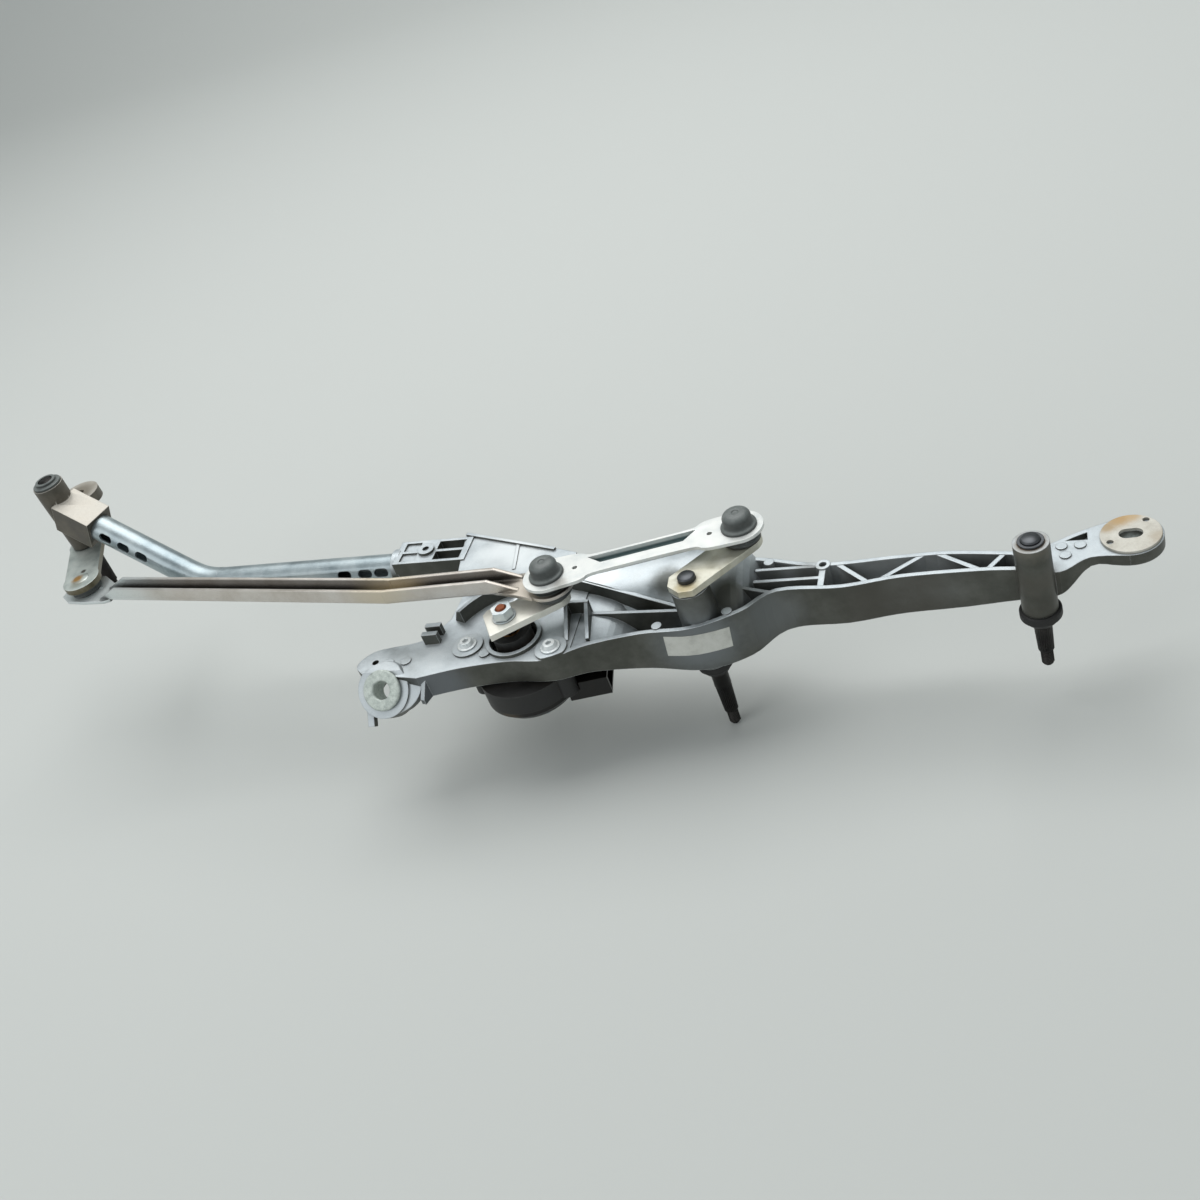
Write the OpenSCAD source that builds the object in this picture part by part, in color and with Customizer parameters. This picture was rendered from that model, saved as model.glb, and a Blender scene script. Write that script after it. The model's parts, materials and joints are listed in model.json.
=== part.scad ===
/* [Spindles] */
// Distance from the centre spindle to the right spindle along the frame
right_x = 214; // [196:1:232]
// Offset of the right spindle towards the back
right_y = 4; // [0:0.5:8]
// Distance from the centre spindle to the left spindle along the frame
left_x = 551; // [540:1:565]
// Offset of the left spindle towards the back
left_y = 120; // [112:1:128]
// Diameter of the spindle shafts
spindle_d = 12; // [10:0.5:13]
// Diameter of the threaded arm studs
thread_d = 8; // [7:0.5:9]
// Length of the threaded arm studs
thread_len = 12; // [9:0.5:15]
// Diameter over the arm splines at the arm's end
spline_d = 10; // [9.5:0.25:11]
// Length of the arm splines
spline_len = 24; // [18:0.5:25]
// Height of the centre spindle's head above its arm seat
centre_head_z = 122; // [118:0.5:126]
// Height of the right spindle's head
right_head_z = 119; // [115:0.5:123]
// Height of the right spindle's arm seat
right_seat_z = 29; // [25:0.5:30]
// Height of the left spindle's head
left_head_z = 198; // [194:0.5:202]
// Height of the left spindle's arm seat
left_seat_z = 90; // [86:0.5:94]

/* [Linkage] */
// Distance from the centre spindle back to the motor shaft along the frame
motor_x = 131; // [127:0.5:135]
// Offset of the motor shaft from the centre spindle, negative is to the front
motor_y = -9.5; // [-12:0.5:-7]
// Crank radius, motor shaft to crank stud
crank_radius = 37.5; // [35:0.5:40]
// Parked crank angle from the frame's long axis
crank_angle = 27.5; // [24:0.5:31]
// Centre lever length, spindle to stud
centre_lever_len = 49; // [46:0.5:52]
// Parked centre lever angle
centre_lever_angle = 48.5; // [45:0.5:52]
// Left lever length, spindle to stud
left_lever_len = 57.5; // [54:0.5:60]
// Parked left lever angle
left_lever_angle = -64; // [-68:0.5:-61]
// Thickness of the levers and the crank
lever_t = 5; // [4:0.25:6]
// Width of the levers
lever_w = 25; // [22:0.5:28]

/* [Rods] */
// Sheet thickness of the two rods
sheet_t = 2.5; // [2:0.25:3]
// Depth of the pressed channel in the rods
channel_depth = 5; // [4:0.5:6]
// Width of the short rod over its flanges
short_rod_w = 21; // [18:0.5:24]
// Width of the short rod's groove
groove_w = 9; // [7:0.5:11]
// Width of the long rod
long_rod_w = 15.5; // [14:0.5:18]
// Radius of the rods' flat ends
rod_end_r = 17; // [16:0.25:19]
// Set of the long rod to the front at its bend
bend_set = 12; // [9:0.5:14]
// Distance from the crank stud to the bend of the long rod
bend_at = 125; // [110:1:140]
// Ball diameter of the running ball joints
ball_d = 15; // [13:0.5:16]
// Outer diameter of the ball sockets
socket_d = 23; // [22:0.5:25]
// Height of the domed socket caps
cap_h = 12; // [10:0.5:14]

/* [Casting] */
// Height of the open rim of the frame
rim_z = 90; // [88:0.5:92]
// Wall and floor thickness of the frame
wall = 3.2; // [2.5:0.1:4]
// Rib thickness
rib_t = 2.6; // [2:0.1:3.5]
// Diameter of the centre spindle's boss
centre_boss_d = 26; // [24:0.5:28]
// Diameter of the right spindle's boss
right_boss_d = 22; // [20:0.5:24]
// Diameter of the left spindle's boss
left_boss_d = 25; // [23:0.5:27]
// Height of the lower end of the centre boss
centre_foot_z = 49; // [46:0.5:51]
// Height of the lower end of the right boss
right_foot_z = 63.5; // [62:0.5:66]
// Diameter of the opening for the motor neck
neck_hole_d = 35; // [33:0.5:38]
// Radius of the smooth shell behind the centre boss
shell_r = 45; // [42:0.5:48]
// Height of the shell above the open rim
shell_rise = 11; // [9:0.5:12]
// Thickness of the motor deck
deck_t = 5; // [4:0.5:6]

/* [Fixing points] */
// Distance of the left eye from the motor shaft along the frame
eye_dx = 94.5; // [92:0.5:98]
// Distance of the left eye in front of the motor shaft
eye_dy = 30.5; // [27:0.5:34]
// Height of the left eye
eye_z = 80; // [78:0.5:82]
// Forward lean of the left eye
eye_tilt = 48; // [42:1:52]
// Diameter of the casting round the left eye
eye_d = 40; // [38:0.5:44]
// Bolt bore of the left eye
eye_bore_d = 13; // [11:0.5:15]
// Distance of the right fixing disc from the right spindle along the frame
disc_dx = 56.5; // [52:0.5:61]
// Distance of the right fixing disc behind the right spindle
disc_dy = 28; // [24:0.5:32]
// Diameter of the right fixing disc
disc_d = 38; // [35:0.5:41]
// Length of the slot in the right fixing disc
slot_len = 14; // [12:0.5:18]
// Width of the slot in the right fixing disc
slot_w = 9; // [7:0.5:10]
// Bore of the ear on the left bearing
ear_bore_d = 9; // [7:0.5:10]

/* [Tube] */
// Outer diameter of the carrier tube
tube_d = 22; // [20:0.5:23]
// Wall thickness of the carrier tube
tube_wall = 2; // [1.5:0.1:2.5]
// Centre line radius of the tube's bend
tube_bend_r = 60; // [45:1:75]
// Distance from the centre spindle to the bend along the frame
tube_bend_x = 427; // [420:1:434]
// Height of the straight run of the tube
tube_z = 94; // [92:0.5:96]
// Height at which the tube meets the left bearing's axis
tube_top_z = 169; // [166:0.5:172]

/* [Motor] */
// Turn of the motor's axis from the frame's long axis
motor_turn = 10; // [8:0.5:12]
// Outer diameter of the motor can
can_d = 48; // [44:0.5:50]
// Length of the motor can
can_len = 70; // [64:1:72]
// Height of the worm's axis
worm_z = 58; // [57:0.25:59]
// Outer radius of the worm wheel
wheel_r = 26; // [24:0.5:27]
// Teeth on the worm wheel
wheel_teeth = 48; // [40:1:56]
// Radius of the gear case
case_r = 35; // [34:0.5:37]
// Diameter of the output shaft
shaft_d = 10; // [9:0.5:11]
// Radius of the circle of motor screws
screw_circle_r = 34.5; // [33:0.5:36]

/* [Fits] */
// Radial clearance of running fits
run_fit = 0.05; // [0.02:0.01:0.1]
// Gap between parts that pass each other
gap = 0.5; // [0.4:0.1:0.8]
// Sideways play at the open pivot of the centre lever
centre_play = 2.8; // [2.6:0.1:3]
// Sideways play at the open pivot of the long rod
long_rod_play = 6.8; // [6.6:0.1:7]

/* [Hidden] */
$fn = 64;

// Plan positions of the axes
motor = [-motor_x, motor_y];
left = [-left_x, left_y];
right = [right_x, right_y];
function polar(r, a) = [r * cos(a), r * sin(a)];
function angle_of(v) = atan2(v[1], v[0]);
crank_pin = motor + polar(crank_radius, crank_angle);
centre_pin = polar(centre_lever_len, centre_lever_angle);
left_pin = left + polar(left_lever_len, left_lever_angle);

// Heights of the stack of levers and rods
spindle_r = spindle_d / 2;
head_show = 3.5;
joint_drop = 8;
centre_lever_z = centre_head_z - head_show - lever_t;
short_rod_z = centre_lever_z + lever_t + joint_drop;
long_rod_z = short_rod_z - joint_drop;
left_drop = 6;
left_lever_z = long_rod_z + sheet_t + left_drop;
crank_z = long_rod_z - joint_drop - lever_t;
ball_r = ball_d / 2;
socket_r = socket_d / 2;
neck_r = 4.5;
rivet_h = 2;
rivet_r = 7;

// Bearings
bush_wall = 2;
bush_len = 14;
bush_r = spindle_r + run_fit + bush_wall;
centre_boss_r = centre_boss_d / 2;
right_boss_r = right_boss_d / 2;
left_boss_r = left_boss_d / 2;
washer_t = 1;
ring_t = 1.6;
ring_r = 8;
seal_h = 11;
centre_boss_top = centre_lever_z - washer_t;
right_boss_top = right_head_z - head_show;
left_foot_z = left_lever_z + lever_t + washer_t;
left_boss_top = left_head_z - head_show - 1;

// Motor, in a frame of its own on the output shaft with the worm's axis along x
deck_z = rim_z + 1;
pad_top = deck_z + 0.8;
screw_angles = [97, 187, 335];
screw_d = 6;
screw_bite = 4;
screw_pad_d = 23;
lug_d = 15;
worm_r = 4.5;
worm_off = wheel_r + worm_r + gap;
worm_room = worm_r + 1;
tunnel_r = worm_room + 4.5;
can_r = can_d / 2;
can_wall = 2;
can_room = can_r + 1;
can_from = case_r + 9;
case_wall = 3;
case_top = worm_z + 9;
case_split = worm_z - worm_r - 2.5;
case_foot = worm_z - 16;
lug_top = worm_z + tunnel_r + gap;
shaft_r = shaft_d / 2;
stem_r = shaft_r - 1;
neck_tube_r = 14;
neck_top = deck_z + 7;

// Smooth curve through a list of points, each span cut into a few steps
function spline_at(a, b, c, d, t) =
  0.5 * (2 * b + (c - a) * t + (2 * a - 5 * b + 4 * c - d) * t * t + (3 * b - a - 3 * c + d) * t * t * t);
function spline(p, steps = 5) = concat(
  [for (i = [0:len(p) - 2]) for (k = [0:steps - 1])
    spline_at(p[max(i - 1, 0)], p[i], p[i + 1], p[min(i + 2, len(p) - 1)], k / steps)],
  [p[len(p) - 1]]);
function unit(v) = v / norm(v);
function left_of(v) = [-v[1], v[0]];
// The same curve moved sideways, positive to the left of its run
function beside(p, d) = [for (i = [0:len(p) - 1])
  p[i] + d * left_of(unit(p[min(i + 1, len(p) - 1)] - p[max(i - 1, 0)]))];
function reversed(p) = [for (i = [len(p) - 1:-1:0]) p[i]];
function flipped(p) = [for (q = p) [q[0], -q[1]]];
// A point on the beam, as a share of the way to the right spindle and an offset to the back
function on_beam(share, off) = [share * right_x, share * right_y + off];

// Front and back edges of the casting in plan
front_edge = spline([
  motor + [-66, -32], motor + [-34, -25.5], motor + [0, -23], motor + [29, -25], motor + [56, -14],
  [-38, -17], [-3, -16.5], [29, -4], on_beam(0.24, 12), on_beam(0.44, 8.5), on_beam(0.62, 12),
  on_beam(0.85, 9.5), on_beam(0.97, 5.5)
]);
back_edge = spline([
  motor + [-69, 114], motor + [18, 82], [-60, 60], [0, 58], [39, 50], on_beam(0.37, 36.5),
  on_beam(0.61, 35), on_beam(0.76, 33), on_beam(0.94, 25)
]);
disc = right + [disc_dx, disc_dy];
disc_r = disc_d / 2;
disc_t = 8;
// The arm runs from the beam past the right boss to the fixing disc
arm_front = spline([on_beam(0.97, 5.5), right + [14, 0], right + [32, 11], disc + [-2, -disc_r]]);
arm_back = spline([on_beam(0.94, 25), right + [6, 27], right + [26, 37], disc + [-4, disc_r]]);
eye = motor - [eye_dx, eye_dy];
outer_edge = concat(front_edge, arm_front, reversed(arm_back), reversed(back_edge), [
  motor + [-71, 98], motor + [-56, 60], motor + [-58, 28], motor + [-70, 8]
], spline([
  motor + [-84, 4.5], motor + [-97, 3], motor + [-110, 0], motor + [-118, -8], motor + [-119, -16],
  motor + [-112, -23]
]));
tray_edge = concat(beside(front_edge, wall), reversed(beside(back_edge, -wall)));
arm_pocket = concat(beside(arm_front, wall), reversed(beside(arm_back, -wall)));
tray_left = -motor_x + case_r + 10;
tray_right = right_x * 0.955;
// Lower edge of the casting seen from the front, clear of the gear case
case_clear_z = lug_top + 2.5;
lower_edge = spline([
  [-motor_x - 130, case_clear_z], [-motor_x, case_clear_z], [-motor_x + 33, case_clear_z - 1], [-60, 63],
  [-22, 56], [8, 51.5], [34, 52], [62, 57.5], [right_x * 0.47, 59.5], [right_x * 0.8, 61],
  [right_x + 8, 70], [right_x + 32, rim_z - 7], [right_x + 50, rim_z - disc_t],
  [right_x + disc_dx + disc_r + 10, rim_z - disc_t]
], 4);
tall = 200;

// Prism of a plan outline, standing on the lower edge raised by a given amount
module standing(edge, top, raise = 0) {
  low_right = lower_edge[len(lower_edge) - 1][0];
  low_left = lower_edge[0][0];
  intersection() {
    linear_extrude(height = top) polygon(edge);
    translate([0, tall, raise]) rotate([90, 0, 0]) linear_extrude(height = 2 * tall)
      polygon(concat(lower_edge, [[low_right, tall], [low_left, tall]]));
  }
}

// Upright rib between two plan points, with its top level or falling to a second height
module rib(a, b, low, high, high_b = -1, t = rib_t) {
  run = norm(b - a);
  translate([a[0], a[1], 0]) rotate(angle_of(b - a)) translate([0, t / 2, 0]) rotate([90, 0, 0])
    linear_extrude(height = t) polygon([[0, low], [run, low], [run, high_b < 0 ? high : high_b], [0, high]]);
}

// Place whose upward axis runs along a direction in space
module along(start, dir) {
  translate(start) rotate([0, acos(dir[2] / norm(dir)), angle_of(dir)]) children();
}

module pipe(outer, inner, h) {
  difference() {
    cylinder(r = outer, h = h);
    translate([0, 0, -1]) cylinder(r = inner, h = h + 2);
  }
}

module at(p, z = 0) {
  translate([p[0], p[1], z]) children();
}

module motor_place(z = 0) {
  at(motor, z) rotate(motor_turn) children();
}

// Place on the worm's axis, looking along it, at a distance from the output shaft
module worm_place(x) {
  motor_place() translate([x, worm_off, worm_z]) rotate([0, 90, 0]) children();
}

module at_screws(z) {
  for (a = screw_angles) at(motor + polar(screw_circle_r, a), z) children();
}

// Smooth shell behind the centre boss, as a lying round with a domed right end
shell_y = 45;
shell_left = -motor_x + 26;
shell_right = 40;
module shell_round(r) {
  dome = r * 0.45;
  dome_steps = 8;
  end = shell_right - shell_left - shell_r + r;
  translate([shell_left, shell_y, rim_z + shell_rise - shell_r]) rotate([0, 90, 0])
    rotate_extrude() polygon(concat([[0, 0], [r, 0]], [for (i = [0:dome_steps])
      [r * cos(90 * i / dome_steps), end - dome + dome * sin(90 * i / dome_steps)]]));
}

// The long rib starts at the boss and bounds the shell to the front
rib_start = [-10, 6];
rib_end = motor + [27, 50.5];
module shell_plan(inset) {
  step = inset * left_of(unit(rib_start - rib_end));
  intersection() {
    standing(inset > 0 ? tray_edge : outer_edge, tall);
    linear_extrude(height = tall) polygon([
      rib_end + step, rib_start + step, [shell_right, -tall], [shell_right, tall], rib_end + [0, tall]
    ]);
  }
}

module frame_shell() {
  intersection() {
    difference() {
      shell_round(shell_r);
      shell_round(shell_r - wall);
    }
    shell_plan(0);
  }
}

tube_foot = [-motor_x - 118, 83, tube_z];
tube_corner = [-tube_bend_x, 85, tube_z + 7];
tube_head = [left[0], left[1], tube_top_z];
tube_dir_left = unit(tube_head - tube_corner);
tube_dir_right = unit(tube_foot - tube_corner);
tube_reach_left = norm(tube_head - tube_corner);
tube_reach_right = norm(tube_foot - tube_corner);
tube_hold = 26;
socket_wall = 2.5;
socket_side = tube_d + 2 * socket_wall;

module frame_casting() {
  color("gainsboro") difference() {
    union() {
      difference() {
        standing(outer_edge, rim_z);
        // Open ribbed tray from the motor to the right boss
        intersection() {
          standing(tray_edge, tall, wall);
          translate([tray_left, -tall / 2, 0]) cube([tray_right - tray_left, tall, tall]);
        }
        // Corner pocket at the back of the right arm
        intersection() {
          standing(arm_pocket, tall, wall);
          at(right, rim_z - 6) linear_extrude(height = tall)
            polygon([[17, 29.5], [disc_dx - disc_r - 6, 28.5], [disc_dx - disc_r - 6, 45]]);
        }
        // The deck is open below for the gear case
        intersection() {
          linear_extrude(height = deck_z - deck_t) polygon(tray_edge);
          translate([-motor_x - 62, -tall / 2, 0]) cube([62 + case_r + 7, tall, tall]);
        }
      }
      deck();
      tray_ribs();
      can_guard();
      frame_shell();
      raised_block();
      tube_socket();
      at([0, 0], centre_foot_z) cylinder(r = centre_boss_r, h = centre_boss_top - centre_foot_z);
      at(right, right_foot_z) cylinder(r = right_boss_r, h = right_boss_top - right_foot_z);
      left_lug();
      disc_place() cylinder(r = disc_r, h = disc_t);
    }
    // Room for the motor
    worm_place(can_from - 8) cylinder(r = can_room, h = can_len + 9);
    at(motor) cylinder(d = neck_hole_d, h = tall);
    at_screws(0) cylinder(d = screw_d + 2 * screw_gap, h = tall);
    // Bores
    for (p = [[0, 0], right]) at(p) cylinder(r = bush_r, h = tall);
    eye_place() translate([0, 0, -tall / 2]) cylinder(r = sleeve_r, h = tall);
    disc_place() slot_cut();
    along(tube_foot, tube_dir_right) translate([0, 0, -collar_len - 1])
      cylinder(d = tube_d, h = tube_hold + collar_len + 1);
    at(on_beam(0.375, 34), rim_z - 16) cylinder(d = 5, h = 20);
    at(motor + [-105.4, -11.7]) cylinder(d = 5, h = tall);
  }
}

// Ring round the motor neck, screw pads with their pillars, and small gussets
screw_gap = 0.2;
module deck() {
  at(motor, deck_z - deck_t) cylinder(d = neck_hole_d + 6, h = deck_t + 2);
  intersection() {
    linear_extrude(height = tall) polygon(outer_edge);
    union() {
      at_screws(deck_z - deck_t) cylinder(d = screw_pad_d, h = pad_top - deck_z + deck_t);
      at_screws(lug_top) cylinder(d = 13, h = deck_z - deck_t - lug_top);
    }
  }
  // Gussets beside the crank, falling to the front
  for (x = [36, 51]) rib(motor + [x, 22], motor + [x + 5, -8], deck_z - deck_t, deck_z + 9, deck_z);
  rib(motor + [34, 22], motor + [53, 21], deck_z - deck_t, deck_z + 9);
  // Pair of clip lugs on the left lug
  for (y = [2, 11]) at(motor + [-70, y], deck_z - deck_t) cube([12, 4, 13]);
}

module tray_ribs() {
  low = centre_foot_z;
  zig = [0.41, 0.53, 0.7, 0.86, 0.955];
  intersection() {
    standing(outer_edge, rim_z - 0.5);
    union() {
      for (i = [0:len(zig) - 2])
        rib(on_beam(zig[i], i % 2 == 0 ? 36 : 9), on_beam(zig[i + 1], i % 2 == 0 ? 9 : 36), low, tall,
          t = 1.2 * rib_t);
      rib(on_beam(0.375, 6), on_beam(0.375, 40), low, tall, t = 1.6 * rib_t);
      for (y = [22, 34]) rib([34, y + 4], on_beam(0.375, y), low, tall);
      rib([-10, 4], motor + [45, 20.5], low, tall);
      rib([14, 26], [47, 13.5], low, tall);
      tray_ramp();
    }
  }
  intersection() {
    standing(outer_edge, tall);
    rib(rib_start, rib_end, low, rim_z - 0.5, rim_z + shell_rise + 0.5);
  }
  // Pads left by the ejector pins of the die
  for (p = [[-27, -11], [20, -3], on_beam(0.2, 43), right + [16, 24], right + [27, 23.5], right + [18, 15]])
    at(p, rim_z - 13) cylinder(d = 7, h = 14);
  at(motor + [-18.7, -13.5], rim_z - 2) cylinder(d = 8, h = 3.6);
  at(on_beam(0.375, 34), centre_foot_z + 15) cylinder(d = 10, h = rim_z - centre_foot_z - 14.5);
}

// Floor of the tray rising in a curve to the deck beside the crank
module tray_ramp() {
  foot = [-28, centre_foot_z];
  bed = spline([[tray_left - 2, rim_z - 1], [tray_left + 12, rim_z - 2], [tray_left + 30, rim_z - 9], foot]);
  intersection() {
    standing(tray_edge, tall);
    translate([0, tall, 0]) rotate([90, 0, 0]) linear_extrude(height = 2 * tall)
      polygon(concat(bed, [[tray_left - 2, centre_foot_z]]));
  }
}

// Round wall over the motor can
module can_guard() {
  intersection() {
    standing(outer_edge, rim_z - 0.5);
    worm_place(can_from - 3) cylinder(r = can_room + wall, h = can_len + 4 + wall);
  }
}

// Raised flat block behind the crank, with a shoulder curved round the crank's sweep
module raised_block() {
  low = deck_z - deck_t;
  top = deck_z + 13;
  sweep_r = crank_radius + 12.5;
  translate([0, 0, low - 16]) linear_extrude(height = top - low + 16) polygon([
    motor + [-66, 112], motor + [-58, 62], motor + [-40, 58], motor + polar(sweep_r + 5, 105),
    motor + [18, 51], motor + [34, 54], motor + [34, 72], motor + [18, 79]
  ]);
  rib(motor + [-64, 109], motor + [16, 77.5], low, top + 2);
  rib(motor + [-16.5, 90], motor + [-12, 60], low, top + 0.8);
  at(motor, low) rotate(98) rotate_extrude(angle = 56) polygon([
    [sweep_r, 0], [sweep_r, deck_t + 10], [sweep_r + 4, deck_t + 9], [sweep_r + 9, deck_t], [sweep_r + 9, 0]
  ]);
}

// Socket of the frame that takes the right end of the carrier tube
socket_len = 60;
collar_len = 4;
module tube_socket() {
  half = socket_side / 2;
  pocket_w = half - 1.5 * rib_t;
  along(tube_foot, tube_dir_right) {
    difference() {
      translate([-half, -half, 0]) cube([socket_side, socket_side, socket_len]);
      // Open pockets on the upper face, with a rib left between them
      for (s = [-1, 1]) for (z = [[5, 13, 1.8], [tube_hold + 7, 22, 9]])
        translate([-half - 1, s * (pocket_w / 2 + rib_t / 2) - pocket_w / 2, z[0]])
          cube([z[2] + 1, pocket_w, z[1]]);
    }
    translate([-half - 2.5, 0, tube_hold - 1]) rotate([0, 90, 0]) pipe(6.5, 2.6, 3);
    translate([0, 0, -collar_len]) cylinder(r = half + 0.5, h = collar_len + 2);
  }
}

// Leaning lug with the ring for the eye sleeve
sleeve_wall = 4;
sleeve_r = eye_bore_d / 2 + sleeve_wall;
eye_low = -9;
eye_high = 4;
module eye_place() {
  at(eye, eye_z) rotate([eye_tilt, 0, 0]) children();
}

module left_lug() {
  eye_r = eye_d / 2;
  web_t = 7;
  difference() {
    eye_place() translate([0, 0, eye_low]) cylinder(r = eye_r, h = eye_high - eye_low);
    // The ring is nearly level with the lug behind the sleeve's flange
    at(eye, rim_z + 2.5) translate([-eye_d, -eye_d, 0]) cube(2 * eye_d);
  }
  difference() {
    eye_place() {
      translate([0, 0, eye_low / 2]) linear_extrude(height = web_t) polygon(spline([
        [1 - eye_r, 2], [-14, eye_r - 5], [-3, eye_r], [11, eye_r], [23, eye_r - 5], [29, 7], [28, -4],
        [20, -13], [7, 1.5 - eye_r]
      ]));
      // Small hook below the ring
      translate([4 - eye_r, -eye_r - 5, eye_low / 2]) cube([5, 12, web_t - 2]);
    }
    // The web ends inside the lug
    at(eye, rim_z - 0.2) translate([-eye_d, -eye_d, 0]) cube(2 * eye_d);
  }
  // Hook at the end of the front wall
  rib(motor + [-62, -29], motor + [-65, -38.5], case_clear_z, case_clear_z + 17, case_clear_z + 4, 3.5);
  for (p = [[-80, -13.7], [-93.5, -14.1]]) at(motor + p, rim_z - 2) cylinder(d = 8, h = 3.2);
}

module disc_place() {
  at(disc, rim_z - disc_t) children();
}

// Slot through the right disc, along the frame
module slot_cut() {
  half = (slot_len - slot_w) / 2;
  translate([0, 0, -tall / 2]) {
    translate([-half, -slot_w / 2, 0]) cube([2 * half, slot_w, tall]);
    for (s = [-1, 1]) translate([s * half, 0, 0]) cylinder(d = slot_w, h = tall);
  }
}

module eye_sleeve() {
  color("lightsteelblue") eye_place() difference() {
    union() {
      translate([0, 0, eye_low]) cylinder(r = sleeve_r, h = eye_high - eye_low);
      translate([0, 0, eye_high]) cylinder(r = sleeve_r + sleeve_wall, h = 3);
    }
    translate([0, 0, -tall / 2]) cylinder(d = eye_bore_d, h = tall);
  }
}

module right_slot_plate() {
  color("tan") disc_place() difference() {
    translate([0, 0, disc_t]) cylinder(r = disc_r - 1, h = 2);
    slot_cut();
    for (p = [[-0.65, -0.35], [0.5, 0.62]]) translate(concat(disc_r * p, 0)) cylinder(d = 4, h = tall);
  }
}

// Straight run, bend and straight run of a round bar, all on one plane. The bend is a little
// thicker than the runs, which reach a short way into it
bend_swell = 0.2;
bend_lap = 1;
module bent_bar(r, run_left, run_right) {
  turn = acos(tube_dir_left * tube_dir_right);
  half_bend = 90 - turn / 2;
  back_off = tube_bend_r / tan(turn / 2) + bend_lap;
  along(tube_corner + tube_dir_left * (back_off - 2 * bend_lap), tube_dir_left)
    cylinder(r = r, h = run_left - back_off + 2 * bend_lap);
  along(tube_corner + tube_dir_right * (back_off - 2 * bend_lap), tube_dir_right)
    cylinder(r = r, h = run_right - back_off + 2 * bend_lap);
  // Plane of the two runs, seen from the bend's centre
  inward = unit(tube_dir_left + tube_dir_right);
  hub = tube_corner + inward * tube_bend_r / sin(turn / 2);
  x_axis = -inward;
  z_axis = unit(cross(tube_dir_left, tube_dir_right));
  y_axis = cross(z_axis, x_axis);
  multmatrix([
    [x_axis[0], y_axis[0], z_axis[0], hub[0]],
    [x_axis[1], y_axis[1], z_axis[1], hub[1]],
    [x_axis[2], y_axis[2], z_axis[2], hub[2]]
  ]) rotate(-half_bend) rotate_extrude(angle = 2 * half_bend) translate([tube_bend_r, 0])
    circle(r = r + bend_swell);
}

tube_stop = left_boss_r + 8;
tube_left_run = tube_reach_left - tube_stop;
tube_right_run = tube_reach_right + tube_hold;
module carrier_tube() {
  color("lightsteelblue") difference() {
    bent_bar(tube_d / 2, tube_left_run, tube_right_run);
    bent_bar(tube_d / 2 - tube_wall, tube_left_run + 1, tube_right_run + 1);
    // Rows of oval slots on the front side, near both ends
    for (z = [14, 28, 46]) along(tube_foot - tube_dir_right * z, tube_dir_right) tube_slot(-1);
    for (z = [52, 70, 88]) along(tube_head - tube_dir_left * z, tube_dir_left) tube_slot(1);
  }
}

// Oval slot through the front wall of the tube, facing forward and a little up
module tube_slot(side) {
  slot_r = 3.4;
  half = 2.6;
  lean = 110;
  rotate(side * lean) rotate([0, 90, 0]) {
    for (s = [-1, 1]) translate([s * half, 0, 0]) cylinder(r = slot_r, h = tube_d);
    translate([-half, -slot_r, 0]) cube([2 * half, 2 * slot_r, tube_d]);
  }
}

// Bearing casting at the left end of the tube
ear = left + [-2, 26];
ear_d = 34;
ear_top = left_boss_top - 28;
ear_t = 9;
module left_housing() {
  block_len = 36;
  collar_h = 10;
  color("silver") difference() {
    union() {
      at(left, left_foot_z)
        cylinder(r1 = left_boss_r - 1, r2 = left_boss_r, h = left_boss_top - collar_h - left_foot_z);
      at(left, left_boss_top - collar_h) cylinder(r = left_boss_r, h = collar_h);
      along(tube_head, -tube_dir_left) translate([-socket_side / 2, -socket_side / 2, 2])
        cube([socket_side, socket_side, block_len]);
      rib(left, ear, ear_top - ear_t, ear_top, t = left_boss_d);
      at(ear, ear_top - ear_t) cylinder(d = ear_d, h = ear_t);
    }
    at(left) cylinder(r = bush_r, h = 2 * tall);
    along(tube_head, -tube_dir_left) translate([0, 0, tube_stop]) cylinder(d = tube_d, h = 2 * block_len);
    at(ear) cylinder(d = ear_bore_d, h = 2 * tall);
    at(left, left_boss_top) cylinder(r = 4 * left_boss_r, h = tall);
    at(left, 0) cylinder(r = 4 * left_boss_r, h = left_foot_z);
  }
}

// Bush at each end of each boss: axis, lower end, upper end, radius and overhang of the seal
bearings = [
  [[0, 0], centre_foot_z, centre_boss_top, centre_boss_r, -0.5],
  [right, right_foot_z, right_boss_top, right_boss_r, 2],
  [left, left_foot_z, left_boss_top, left_boss_r]
];
module spindle_bushes() {
  color("peru") for (b = bearings) for (z = [b[1], b[2] - bush_len])
    at(b[0], z) pipe(bush_r, spindle_r + run_fit, bush_len);
}

// Thick rubber rings under the centre and right bosses, tapered at the lower end
module spindle_seals() {
  bore = spindle_r + gap;
  soft = 0.8;
  taper = seal_h / 2;
  color("black") for (b = [bearings[0], bearings[1]]) {
    wide = b[3] + b[4];
    at(b[0], b[1] - seal_h) rotate_extrude() polygon([
      [bore, 0], [bore + 2, 0], [wide - soft, taper - soft], [wide, taper], [wide, seal_h - soft],
      [wide - soft, seal_h], [bore, seal_h]
    ]);
  }
}

module motor_screws() {
  flange_t = 1.2;
  color("lightsteelblue") {
    at_screws(lug_top - screw_bite) cylinder(d = screw_d, h = pad_top - lug_top + screw_bite);
    at_screws(pad_top) difference() {
      union() {
        cylinder(d = 14, h = flange_t);
        translate([0, 0, flange_t]) cylinder(r1 = 5.6, r2 = 4.2, h = 3.2);
      }
      translate([0, 0, 2 * flange_t]) cylinder(d = 4.5, h = 4, $fn = 6);
    }
  }
}

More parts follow.
